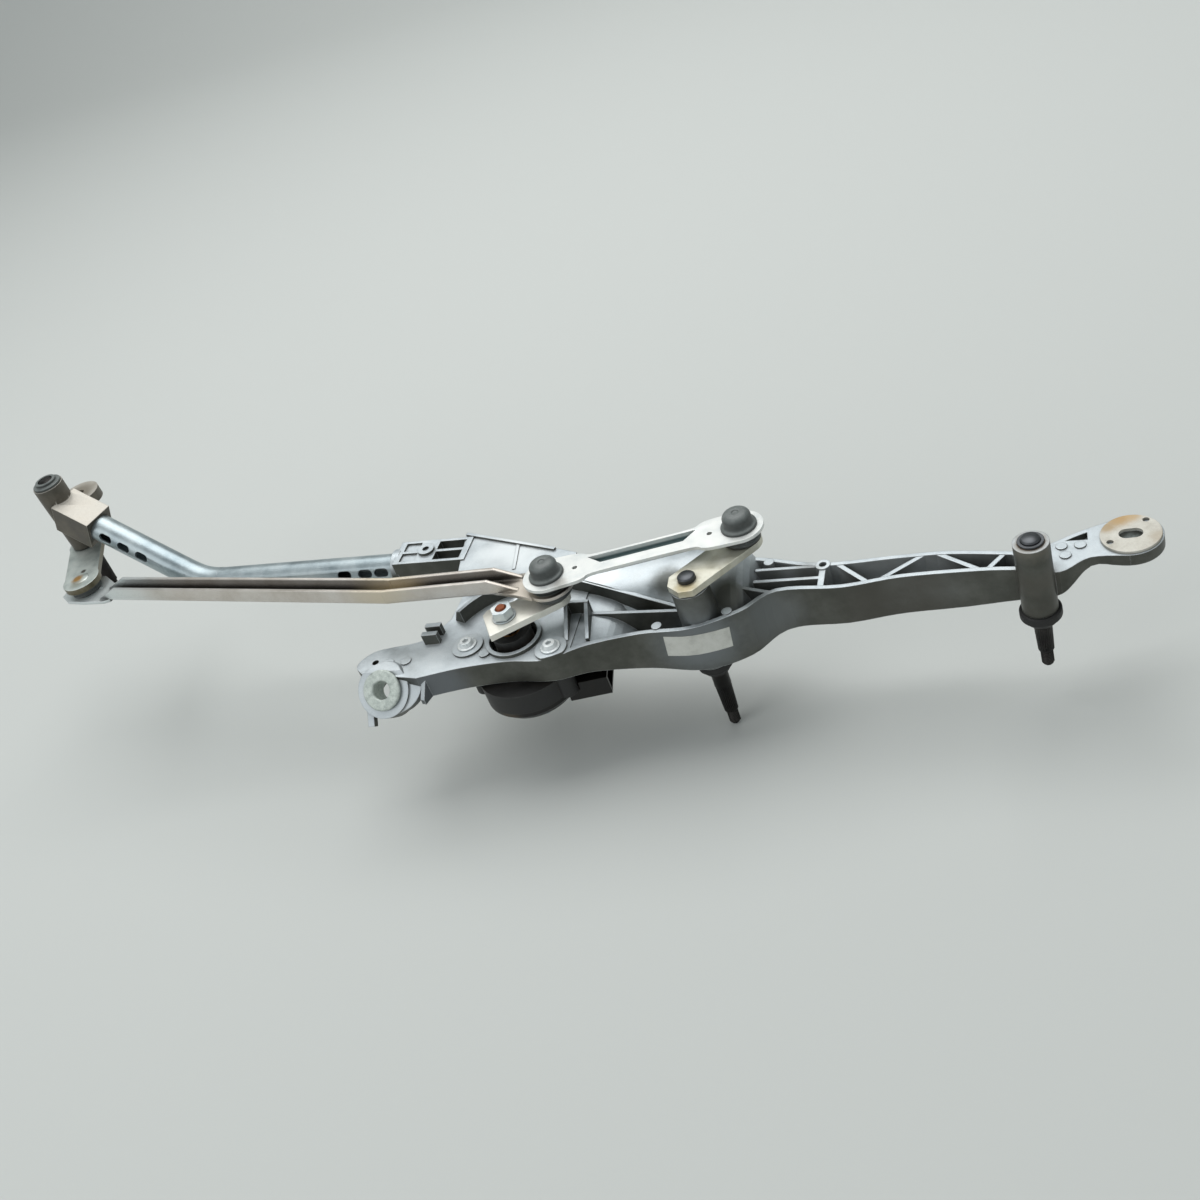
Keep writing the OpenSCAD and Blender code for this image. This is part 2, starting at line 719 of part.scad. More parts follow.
// Gear case of the motor, hung under the deck
module gear_housing() {
  journal = worm_start - 7;
  color("darkgray") difference() {
    union() {
      at(motor, case_split) cylinder(r = case_r, h = case_top - case_split);
      at(motor, case_top - 1) cylinder(r = neck_tube_r, h = neck_top - case_top + 1);
      at_screws(case_split) cylinder(d = lug_d, h = lug_top - case_split);
      worm_place(journal - 3) cylinder(r = tunnel_r, h = can_from - journal + 3);
      worm_place(can_from - 5) cylinder(r = can_r, h = 5);
    }
    // The screw lugs stay solid inside the case
    difference() {
      at(motor) cylinder(r = case_r - case_wall, h = case_top - case_wall);
      at_screws(0) cylinder(d = lug_d, h = tall);
    }
    at(motor) cylinder(r = shaft_r + run_fit + bush_wall, h = tall);
    worm_place(worm_start) cylinder(r = worm_room, h = tall);
    worm_place(journal) cylinder(r = journal_r + run_fit, h = 10);
    at_screws(lug_top - screw_bite - gap) cylinder(d = screw_d + 2 * screw_gap, h = tall);
    // The cover closes the case from below
    at(motor) cylinder(r = case_r + gap, h = case_split);
  }
}

// Plastic cover with the plug collar
connector = [case_r + 6, -9];
plug_w = 24;
plug_out = 16;
module gear_cover() {
  floor_t = 6;
  plug_in = 14;
  mouth_w = plug_w - 2 * case_wall;
  mouth_h = 11;
  color("#202020") difference() {
    union() {
      at(motor, case_foot) cylinder(r1 = case_r - 5, r2 = case_r, h = floor_t);
      at(motor, case_foot + floor_t) cylinder(r = case_r, h = case_split - case_foot - floor_t);
      motor_place(case_foot) translate(concat(connector - [plug_in, plug_w / 2], 0))
        cube([plug_in + plug_out, plug_w, case_split - case_foot + 6]);
    }
    at(motor, case_foot + case_wall) cylinder(r = case_r - case_wall, h = tall);
    at(motor, case_split) cylinder(r = case_r + gap, h = tall);
    at_screws(case_split) cylinder(d = lug_d + 2 * gap, h = tall);
    // Mouth of the plug collar
    motor_place(case_foot + 2) translate(concat(connector - [0, mouth_w / 2], 0))
      cube([plug_out + 4, mouth_w, mouth_h]);
  }
}

cover_screw_angles = [30, 120, 210, 300];
module cover_screws() {
  head_h = 2;
  color("silver") for (a = cover_screw_angles)
    at(motor + polar(case_r - 9, a), case_foot - head_h) cylinder(r1 = 2.6, r2 = 3.4, h = head_h);
}

module connector_pins() {
  pin = 0.8;
  color("gold") motor_place(case_foot) for (y = [-5.4, -1.8, 1.8, 5.4]) for (z = [5, 9])
    translate(concat(connector + [0, y - pin / 2], z)) cube([9, pin, pin]);
}

// Deep drawn can of the motor
can_end_t = 9;
module motor_can() {
  color("dimgray") worm_place(can_from) difference() {
    union() {
      cylinder(r = can_r, h = can_len - can_end_t);
      translate([0, 0, can_len - can_end_t]) cylinder(r1 = can_r, r2 = can_r - 6, h = can_end_t);
    }
    translate([0, 0, -1]) cylinder(r = can_r - can_wall, h = can_len - can_end_t + 1);
    cylinder(r = armature_r + run_fit, h = can_len - 3);
  }
}

magnet_t = 5;
core_from = 18;
core_len = can_len - can_end_t - core_from - 6;
module can_magnets() {
  color("#303234") worm_place(can_from + core_from - 3) difference() {
    pipe(can_r - can_wall, can_r - can_wall - magnet_t, core_len + 6);
    for (a = [0, 90]) rotate(a + 45) translate([-7, -can_r, -1]) cube([14, 2 * can_r, can_len]);
  }
}

module can_screws() {
  head_h = 3;
  color("silver") for (s = [-1, 1])
    worm_place(can_from - 5 - head_h) translate([0, s * (can_r - 5), 0]) cylinder(d = 7, h = head_h);
}

commutator_r = 9;
module brush_plate() {
  plate_t = 3;
  brush_from = commutator_r + gap;
  color("#8a5a2b") worm_place(can_from) {
    pipe(can_r - can_wall, brush_from, plate_t);
    for (a = [0, 180]) rotate(a) translate([brush_from, -3, plate_t]) cube([8, 6, 8]);
  }
}

module output_bush() {
  color("peru") at(motor, case_top - case_wall)
    pipe(shaft_r + run_fit + bush_wall, shaft_r + run_fit, neck_top - case_top + case_wall);
}

nut_h = 7;
wheel_t = 10;
module output_shaft() {
  stem_top = crank_z + lever_t + washer_t + nut_h;
  color("dimgray") {
    at(motor, worm_z - wheel_t / 2 - 1) cylinder(r = shaft_r, h = crank_z - worm_z + wheel_t / 2 + 1);
    at(motor, crank_z) cylinder(r = stem_r, h = stem_top - crank_z);
    at(motor, stem_top) cylinder(r1 = stem_r, r2 = stem_r - 1, h = 1);
  }
}

// Wheel with teeth round a web that is recessed on both sides
module worm_wheel() {
  tooth = 360 / wheel_teeth;
  depth = 1.8;
  recess = 3;
  flank = [0.12, 0.38, 0.55, 0.95];
  color("ivory") at(motor, worm_z - wheel_t / 2) difference() {
    linear_extrude(height = wheel_t) polygon([for (i = [0:wheel_teeth - 1]) for (k = [0:3])
      polar(k < 2 ? wheel_r : wheel_r - depth, (i + flank[k]) * tooth)]);
    translate([0, 0, -1]) cylinder(r = shaft_r, h = wheel_t + 2);
    for (z = [-1, wheel_t - recess]) translate([0, 0, z]) pipe(wheel_r - 5, shaft_r + 4, recess + 1);
  }
}

module crank_arm() {
  tail = 14;
  tail_half = 15;
  corner = 4;
  tip_r = 10;
  color("whitesmoke") at(motor, crank_z) rotate(crank_angle) difference() {
    union() {
      linear_extrude(height = lever_t) polygon([
        [-tail, -tail_half], [crank_radius, -tip_r], [crank_radius, tip_r], [corner - tail, tail_half],
        [-tail, tail_half - corner]
      ]);
      translate([crank_radius, 0, 0]) cylinder(r = tip_r, h = lever_t);
    }
    translate([0, 0, -1]) cylinder(r = stem_r, h = lever_t + 2);
    translate([crank_radius, 0, -1]) cylinder(r = neck_r, h = lever_t + 2);
  }
}

module crank_washer() {
  color("silver") at(motor, crank_z + lever_t) pipe(8.5, stem_r, washer_t);
}

module crank_nut() {
  color("lightsteelblue") at(motor, crank_z + lever_t + washer_t) difference() {
    cylinder(r = 8, h = nut_h, $fn = 6);
    translate([0, 0, -1]) cylinder(r = stem_r, h = nut_h + 2);
  }
}

// Ball joint stud: riveted shank, neck and ball, pointing up or down from its plate
module stud(plate_z, plate_t, ball_z, r, up = 1, head = rivet_h) {
  wide = up > 0 ? rivet_r - 1 : rivet_r;
  translate([0, 0, plate_z]) cylinder(r = neck_r, h = plate_t);
  translate([0, 0, up > 0 ? plate_z - head : plate_z + plate_t])
    cylinder(r1 = wide, r2 = 2 * rivet_r - 1 - wide, h = head);
  translate([0, 0, min(ball_z, plate_z)]) cylinder(r = min(neck_r, r - 1), h = abs(ball_z - plate_z));
  translate([0, 0, ball_z]) sphere(r = r);
}

joint_ball_z = short_rod_z + 0.5;
module crank_stud() {
  color("dimgray") at(crank_pin) {
    stud(crank_z, lever_t, joint_ball_z, ball_r);
    translate([0, 0, crank_z + lever_t]) cylinder(r = neck_r + 3, h = 1.5);
  }
}

// Armature shaft with its two journals and the ridges of the worm
worm_start = -20;
journal_r = 3;
armature_r = 4;
module armature_shaft() {
  ridges = 10;
  pitch = 3.4;
  root_r = worm_r - 1;
  color("silver") {
    worm_place(worm_start - 6) cylinder(r = journal_r, h = 7);
    worm_place(worm_start + gap) cylinder(r = root_r, h = can_from - worm_start - gap);
    worm_place(-ridges * pitch / 2) for (i = [0:ridges - 1]) translate([0, 0, i * pitch])
      rotate_extrude() polygon([[0, 0], [root_r, 0], [worm_r, 0.8], [worm_r, 1.4], [root_r, 2.2], [0, 2.2]]);
    worm_place(can_from - 1) cylinder(r = armature_r, h = can_len - 3);
  }
}

core_r = can_r - can_wall - magnet_t - 0.8;
module armature_core() {
  slots = 10;
  slot_depth = 5;
  color("#7a4a2a") worm_place(can_from + core_from) difference() {
    cylinder(r = core_r, h = core_len);
    translate([0, 0, -1]) cylinder(r = armature_r, h = core_len + 2);
    for (i = [0:slots - 1]) rotate(i * 360 / slots)
      translate([core_r - slot_depth, -1.5, -1]) cube([2 * slot_depth, 3, core_len + 2]);
  }
}

module commutator() {
  bars = 10;
  length = core_from - 5;
  color("orange") worm_place(can_from + 2) difference() {
    cylinder(r = commutator_r, h = length);
    translate([0, 0, -1]) cylinder(r = armature_r, h = length + 2);
    for (i = [0:bars - 1]) rotate(i * 360 / bars)
      translate([commutator_r - 1, -0.4, -1]) cube([4, 0.8, length]);
  }
}

// Place along a rod: its first end at the start, running to the second
module rod_place(a, b, z) {
  at(a, z) rotate(angle_of(b - a)) children();
}

// Short rod: two wide flat ends and a waist with one deep groove nearer its back edge
short_rod_len = norm(centre_pin - crank_pin);
module short_rod() {
  half = short_rod_w / 2;
  shoulder = rod_end_r - 1.5;
  near = rod_end_r + 5;
  far = short_rod_len - near;
  waist = spline([
    [0, -rod_end_r], [near - 2, -shoulder], [near + 4, 2 - shoulder], [near + 11, -half],
    [short_rod_len / 2, 0.5 - half], [far - 11, -half], [far - 4, 2 - shoulder], [far + 2, -shoulder],
    [short_rod_len, 0.5 - rod_end_r]
  ], 4);
  groove_back = half - sheet_t;
  groove_front = groove_back - groove_w;
  groove_from = near + 7;
  groove_to = far - 7;
  slant = groove_w;
  groove = [
    [groove_from + slant, groove_front], [groove_to - slant, groove_front], [groove_to, groove_back],
    [groove_from, groove_back]
  ];
  trough = [
    [groove_from + slant - sheet_t, groove_front - sheet_t],
    [groove_to - slant + sheet_t, groove_front - sheet_t],
    [groove_to + 2 * sheet_t, half], [groove_from - 2 * sheet_t, half]
  ];
  color("white") rod_place(crank_pin, centre_pin, short_rod_z) difference() {
    union() {
      cylinder(r = rod_end_r, h = sheet_t);
      translate([short_rod_len, 0, 0]) cylinder(r = rod_end_r - 0.5, h = sheet_t);
      linear_extrude(height = sheet_t) polygon(concat(waist, reversed(flipped(waist))));
      translate([0, 0, -channel_depth]) linear_extrude(height = channel_depth + 1) polygon(trough);
    }
    translate([0, 0, sheet_t - channel_depth]) linear_extrude(height = 2 * channel_depth) polygon(groove);
    for (x = [0, short_rod_len]) translate([x, 0, -1]) cylinder(r = socket_r, h = sheet_t + 2);
    for (x = [near - 2, far + 2]) translate([x, 0, -1]) cylinder(d = 3.5, h = sheet_t + 2);
  }
}

// Plastic socket pressed into a rod end, with a cavity given by its children
module socket(low, high) {
  lip = 2;
  difference() {
    union() {
      translate([0, 0, low]) cylinder(r = socket_r, h = high - low);
      translate([0, 0, low]) cylinder(r = socket_r + 1, h = lip);
    }
    children();
  }
}

// Domed cap with a flange, and a cavity given by its children
cap_flange_r = socket_r + 0.7;
cap_dome_r = socket_r - 1.4;
module cap(h = cap_h) {
  difference() {
    rotate_extrude() polygon([
      [0, 0], [cap_flange_r, 0], [cap_flange_r, 1.6], [cap_flange_r - 0.8, 2.2], [cap_dome_r + 0.6, 2.2],
      [cap_dome_r, 3], [cap_dome_r - 0.5, h - 4], [cap_dome_r - 1.6, h - 1.6],
      [cap_dome_r - 3.6, h - 0.4], [2, h], [0, h]
    ]);
    children();
  }
}

cavity_r = ball_r + 0.3;
cap_z = short_rod_z + sheet_t;
module crank_socket() {
  color("#161616") at(crank_pin) socket(long_rod_z + sheet_t + gap, cap_z)
    translate([0, 0, joint_ball_z]) sphere(r = cavity_r);
}

module crank_cap() {
  color("#161616") at(crank_pin, cap_z) cap()
    translate([0, 0, joint_ball_z - cap_z]) sphere(r = cavity_r);
}

// The centre lever's ball is small, so that the socket can shift round it
centre_ball_r = socket_r - 3.4 - centre_play;
centre_cavity_r = centre_ball_r + centre_play;
module centre_socket() {
  color("#161616") at(centre_pin) socket(centre_lever_z + lever_t + gap, cap_z)
    cylinder(r = centre_cavity_r, h = tall);
}

module centre_cap() {
  color("#161616") at(centre_pin, cap_z) cap()
    translate([0, 0, -1]) cylinder(r = centre_cavity_r, h = cap_h - 3);
}

// Long rod: flat ends and an open round-bottomed channel with one bend to the front
long_rod_len = norm(crank_pin - left_pin);
long_bush_in = neck_r + long_rod_play;
long_bush_r = long_bush_in + 2.2;
channel_rise = channel_depth + 8;
channel_set = 5.5;
module long_rod() {
  bend = [long_rod_len - bend_at, -bend_set];
  half = long_rod_w / 2;
  end_r = long_bush_r + 3;
  flare = rod_end_r + 12;
  tip = rod_end_r - 1;
  cut = 6;
  ramp = 22;
  near = flare - 4;
  far = long_rod_len - flare + cut;
  start = [near, -channel_set];
  edge_z = sheet_t + 0.4;
  lap = 0.7;
  color("rosybrown") rod_place(left_pin, crank_pin, long_rod_z) difference() {
    union() {
      linear_extrude(height = sheet_t) polygon([
        [cut - tip, -tip], [8, -tip - 1], [flare, -tip], [flare + cut, -half - channel_set],
        [flare + cut, half - channel_set], [flare - cut, half], [8, tip], [cut - tip, tip],
        [-tip - 4, tip - cut], [-tip - 4, cut - tip]
      ]);
      translate([long_rod_len, 0, 0]) cylinder(r = end_r, h = sheet_t);
      linear_extrude(height = sheet_t) polygon([
        [far - ramp, -half], [far, -half - 4], [long_rod_len - 8, 1 - end_r], [long_rod_len - 8, end_r - 1],
        [far, half + 4], [far - ramp, half]
      ]);
      channel(start, bend + lap * unit(bend - start));
      channel(bend - lap * unit([far, 0] - bend), [far, 0]);
    }
    // The sides of the channel fall to the flat ends
    translate([0, tall, 0]) rotate([90, 0, 0]) linear_extrude(height = 2 * tall) {
      polygon([[near - 1, edge_z], [near + ramp, channel_rise + 1], [near - 1, channel_rise + 1]]);
      polygon([[far + 1, edge_z], [far - ramp, channel_rise + 1], [far + 1, channel_rise + 1]]);
    }
    translate([0, 0, -1]) cylinder(r = socket_r, h = sheet_t + 2);
    translate([socket_r + 3, 1, -1]) cylinder(d = 3, h = sheet_t + 2);
    translate([long_rod_len, 0, -1]) cylinder(r = long_bush_r, h = sheet_t + 2);
  }
}

// Open channel of the long rod between two of its points
module channel(a, b) {
  half = long_rod_w / 2;
  rise = channel_rise;
  round_r = 4;
  steps = 4;
  // Half outline of the channel, from its middle round the corner to its edge
  outer = concat([[0, 0]], [for (i = [0:steps]) let (t = 90 * i / steps)
    [half - round_r + round_r * sin(t), round_r - round_r * cos(t)]], [[half, rise]]);
  inner_r = round_r - sheet_t;
  inner = concat([[0, sheet_t]], [for (i = [0:steps]) let (t = 90 * i / steps)
    [half - round_r + inner_r * sin(t), round_r - inner_r * cos(t)]], [[half - sheet_t, rise]]);
  section = concat(outer, reversed(inner));
  at(a) rotate(angle_of(b - a)) rotate([90, 0, 90]) linear_extrude(height = norm(b - a)) {
    polygon(section);
    mirror([1, 0]) polygon(section);
  }
}

module long_rod_bush() {
  color("#161616") at(crank_pin, long_rod_z - joint_drop + sheet_t + gap)
    pipe(long_bush_r, long_bush_in, joint_drop - gap);
}

left_ball_z = long_rod_z + 0.5;
left_cap_h = 8.5;
module left_socket() {
  lip = 2;
  color("#2a2a2a") at(left_pin) difference() {
    union() {
      translate([0, 0, long_rod_z]) cylinder(r = socket_r, h = joint_drop);
      translate([0, 0, long_rod_z + sheet_t]) cylinder(r = socket_r + 1, h = lip);
    }
    translate([0, 0, left_ball_z]) sphere(r = cavity_r);
    translate([0, 0, left_ball_z]) cylinder(r = neck_r + 1, h = 2 * joint_drop);
  }
}

module left_cap() {
  color("#161616") at(left_pin, long_rod_z) mirror([0, 0, 1]) cap(left_cap_h)
    translate([0, 0, long_rod_z - left_ball_z]) sphere(r = cavity_r);
}

// Spindle with a chamfered head, a tapered splined arm seat and a threaded stud
module spindle(head_z, seat_z) {
  chamfer = 1.2;
  color("#2c2a28") {
    translate([0, 0, seat_z + spline_len]) cylinder(r = spindle_r, h = head_z - 1 - seat_z - spline_len);
    translate([0, 0, head_z - 1]) cylinder(r1 = spindle_r, r2 = spindle_r - 1, h = 1);
    translate([0, 0, seat_z]) arm_splines();
    translate([0, 0, seat_z - thread_len]) cylinder(d = thread_d, h = thread_len);
    translate([0, 0, seat_z - thread_len - chamfer])
      cylinder(d1 = thread_d - 2 * chamfer, d2 = thread_d, h = chamfer);
  }
}

// Cone with narrow grooves along its side
module arm_splines() {
  flutes = 24;
  depth = 0.45;
  side = depth * sqrt(2);
  low_r = spline_d / 2;
  high_r = spindle_r - 0.2;
  lean = atan((high_r - low_r) / spline_len);
  difference() {
    cylinder(r1 = low_r, r2 = high_r, h = spline_len);
    for (i = [0:flutes - 1]) rotate(i * 360 / flutes) translate([low_r, 0, 0]) rotate([0, lean, 0]) rotate(45)
      translate([-side / 2, -side / 2, -1]) cube([side, side, spline_len + 2]);
  }
}

module centre_spindle() {
  spindle(centre_head_z, 0);
}

module centre_lever() {
  half = lever_w / 2;
  cut = lever_w * 0.27;
  color("ivory") at([0, 0], centre_lever_z) rotate(centre_lever_angle) difference() {
    union() {
      linear_extrude(height = lever_t) polygon([
        [-half, cut - half], [cut - half, -half], [centre_lever_len, -half], [centre_lever_len, half],
        [cut - half, half], [-half, half - cut]
      ]);
      translate([centre_lever_len, 0, 0]) cylinder(r = half, h = lever_t);
    }
    translate([0, 0, -1]) cylinder(r = spindle_r, h = lever_t + 2);
    translate([centre_lever_len, 0, -1]) cylinder(r = neck_r, h = lever_t + 2);
  }
}

module centre_stud() {
  color("dimgray") at(centre_pin) stud(centre_lever_z, lever_t, joint_ball_z, centre_ball_r);
}

seat_gap = 0.1;
module centre_washer() {
  color("silver") at([0, 0], centre_boss_top + seat_gap)
    pipe(centre_boss_r - 2, spindle_r, washer_t - seat_gap);
}

module left_spindle() {
  at(left) spindle(left_head_z, left_seat_z);
}

module left_lever() {
  width = lever_w + 4;
  half = width / 2;
  color("ivory") at(left, left_lever_z) rotate(left_lever_angle) difference() {
    union() {
      cylinder(r = half + 1, h = lever_t);
      translate([0, -half, 0]) cube([left_lever_len, width, lever_t]);
      translate([left_lever_len, 0, 0]) cylinder(r = half + 1, h = lever_t);
    }
    translate([0, 0, -1]) cylinder(r = spindle_r, h = lever_t + 2);
    translate([left_lever_len, 0, -1]) cylinder(r = neck_r, h = lever_t + 2);
  }
}

module left_stud() {
  color("dimgray") at(left_pin) stud(left_lever_z, lever_t, left_ball_z, ball_r, -1, rivet_h / 4);
}

// Locking rings under the heads of the outer spindles
module left_ring() {
  color("dimgray") at(left, left_boss_top + seat_gap) pipe(ring_r, spindle_r, ring_t);
}

module right_spindle() {
  at(right) spindle(right_head_z, right_seat_z);
}

module right_ring() {
  color("dimgray") at(right, right_boss_top + seat_gap) pipe(ring_r, spindle_r, ring_t);
}

frame_casting();
eye_sleeve();
right_slot_plate();
carrier_tube();
left_housing();
spindle_bushes();
spindle_seals();
motor_screws();
gear_housing();
gear_cover();
cover_screws();
connector_pins();
motor_can();
can_magnets();
can_screws();
brush_plate();
output_bush();
output_shaft();
worm_wheel();
crank_arm();
crank_washer();
crank_nut();
crank_stud();
armature_shaft();
armature_core();
commutator();
short_rod();
crank_socket();
crank_cap();
centre_socket();
centre_cap();
long_rod();
long_rod_bush();
left_socket();
left_cap();
centre_spindle();
centre_lever();
centre_stud();
centre_washer();
left_spindle();
left_lever();
left_stud();
left_ring();
right_spindle();
right_ring();
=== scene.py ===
import json
import math

import bmesh
import bpy
from mathutils import Matrix, Vector


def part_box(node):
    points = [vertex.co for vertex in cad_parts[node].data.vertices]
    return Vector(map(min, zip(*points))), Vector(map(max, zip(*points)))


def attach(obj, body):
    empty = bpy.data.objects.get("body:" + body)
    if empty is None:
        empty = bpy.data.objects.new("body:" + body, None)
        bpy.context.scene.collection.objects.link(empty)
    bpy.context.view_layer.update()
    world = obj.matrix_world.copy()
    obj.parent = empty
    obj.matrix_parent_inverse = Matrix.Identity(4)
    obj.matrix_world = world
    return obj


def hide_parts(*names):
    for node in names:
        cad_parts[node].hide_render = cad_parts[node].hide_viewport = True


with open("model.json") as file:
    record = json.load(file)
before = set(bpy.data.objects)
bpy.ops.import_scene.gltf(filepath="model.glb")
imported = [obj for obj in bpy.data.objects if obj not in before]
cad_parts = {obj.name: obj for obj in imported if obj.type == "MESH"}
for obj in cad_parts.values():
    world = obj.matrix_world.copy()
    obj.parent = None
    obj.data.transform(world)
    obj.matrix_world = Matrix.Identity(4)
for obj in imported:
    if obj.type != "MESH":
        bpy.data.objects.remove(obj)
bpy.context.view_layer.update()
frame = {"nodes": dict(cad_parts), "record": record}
record = frame["record"]
bodyOf = {node: body for body, members in record["behaviour"]["bodies"].items() for node in members}
slotOf = {part["node"]: part["material_slot"] for part in record["subparts"]}
mm = 0.001
upZ = Vector((0, 0, 1))

# Places of the mounts and joints in mm; the centre spindle stands on the origin
placed = record["mounts"] + record["behaviour"]["joints"]
placeOf = {item["name"]: [c / mm for c in item["pos_m"]] for item in placed}
rightX, rightY = placeOf["right_arm_seat"][:2]
leftX, leftY = placeOf["left_arm_seat"][:2]
earX, earY, earZ = placeOf["left_ear"]
lugX, lugY, lugZ = placeOf["right_lug"]
slotY = lugY - 12  # the right disc's slot is in front of the mount on its flat face
crankX, crankY = placeOf["crank_turn"][:2]
print("frame loaded:", len(bodyOf), "nodes")


def linear(hexColour):  # sRGB hex to linear colour
    parts = [int(hexColour[i:i + 2], 16) / 255 for i in (1, 3, 5)]
    return [c / 12.92 if c <= 0.04045 else ((c + 0.055) / 1.055) ** 2.4 for c in parts] + [1]


def addNode(tree, kind, settings=None, links=None):
    node = tree.nodes.new("ShaderNode" + kind)
    for name, value in (settings or {}).items():
        if name == "stops":
            ramp = node.color_ramp.elements
            while len(ramp) < len(value):
                ramp.new(0.5)
            for element, (place, hexColour) in zip(ramp, value):
                element.position = place
                element.color = linear(hexColour)
        elif isinstance(name, int) or name in node.inputs:
            node.inputs[name].default_value = value
        else:
            setattr(node, name, value)
    for name, socket in (links or {}).items():
        tree.links.new(socket, node.inputs[name])
    return node


# A spot, a real mark or a patch of painted light or shade, is (place, radius, colour, strength) in mm:
# small ones have ragged edges, large ones are cloudy
spotShape = {
    "core": 0.3, "cloud": 0.5, "smallMm": 15, "raggedMm": 2.5,  # core and cloud are shares of the radius
    "contrast": 1.6, "cut": -0.75, "gain": 1.3,
}


def addStainsAndLight(tree, colour, place, spotList):
    for point, radius, hexColour, strength in spotList:
        centre = [c * mm for c in point]
        away = addNode(tree, "VectorMath", {"operation": "DISTANCE", 1: centre}, {0: place}).outputs["Value"]
        near = addNode(tree, "MapRange", {"From Min": radius * mm, "From Max": radius * spotShape["core"] * mm},
                       {"Value": away}).outputs[0]
        edgeMm = spotShape["raggedMm"] if radius < spotShape["smallMm"] else spotShape["cloud"] * radius
        cloud = addNode(tree, "TexNoise", {"Scale": 1 / (edgeMm * mm), "Detail": 4, "Roughness": 0.55},
                        {"Vector": place}).outputs[0]
        cut = addNode(tree, "Math", {"operation": "MULTIPLY_ADD", 1: spotShape["contrast"], 2: spotShape["cut"]},
                      {0: cloud}).outputs[0]
        both = addNode(tree, "Math", {"operation": "MULTIPLY_ADD", 1: spotShape["gain"], "use_clamp": True},
                       {0: near, 2: cut}).outputs[0]
        inside = addNode(tree, "Math", {"operation": "MULTIPLY"}, {0: both, 1: near}).outputs[0]
        amount = addNode(tree, "Math", {"operation": "MULTIPLY", 1: strength, "use_clamp": True},
                         {0: inside}).outputs[0]
        colour = addNode(tree, "Mix", {"data_type": "RGBA", 7: linear(hexColour)},
                         {0: amount, 6: colour}).outputs[2]
    return colour


# Where worn edges, grime and painted shade start and where they are full, the same for all finishes
wearAndShade = {
    "noiseLow": 0.3, "noiseHigh": 0.7,  # the noise's usual span
    "topTilt": 0.75, "wallTilt": 0.15,  # height of a face's normal on a top and on a wall, for the painted shade of upright faces
    "cornerStart": 0.985, "cornerFull": 0.86,  # how far a rounded corner turns away
    "dirtStart": 0.85, "dirtFull": 0.3,  # how open a corner is, for grime and painted shade
    "smearStart": 0.35, "smearFull": 0.6, "smearLeast": 0.35,
    "grooveStart": 0.98, "grooveFull": 0.86,  # how open a groove's floor is, for its painted shade
    "bumpShare": 0.3,  # height of the grain as a share of its width
}
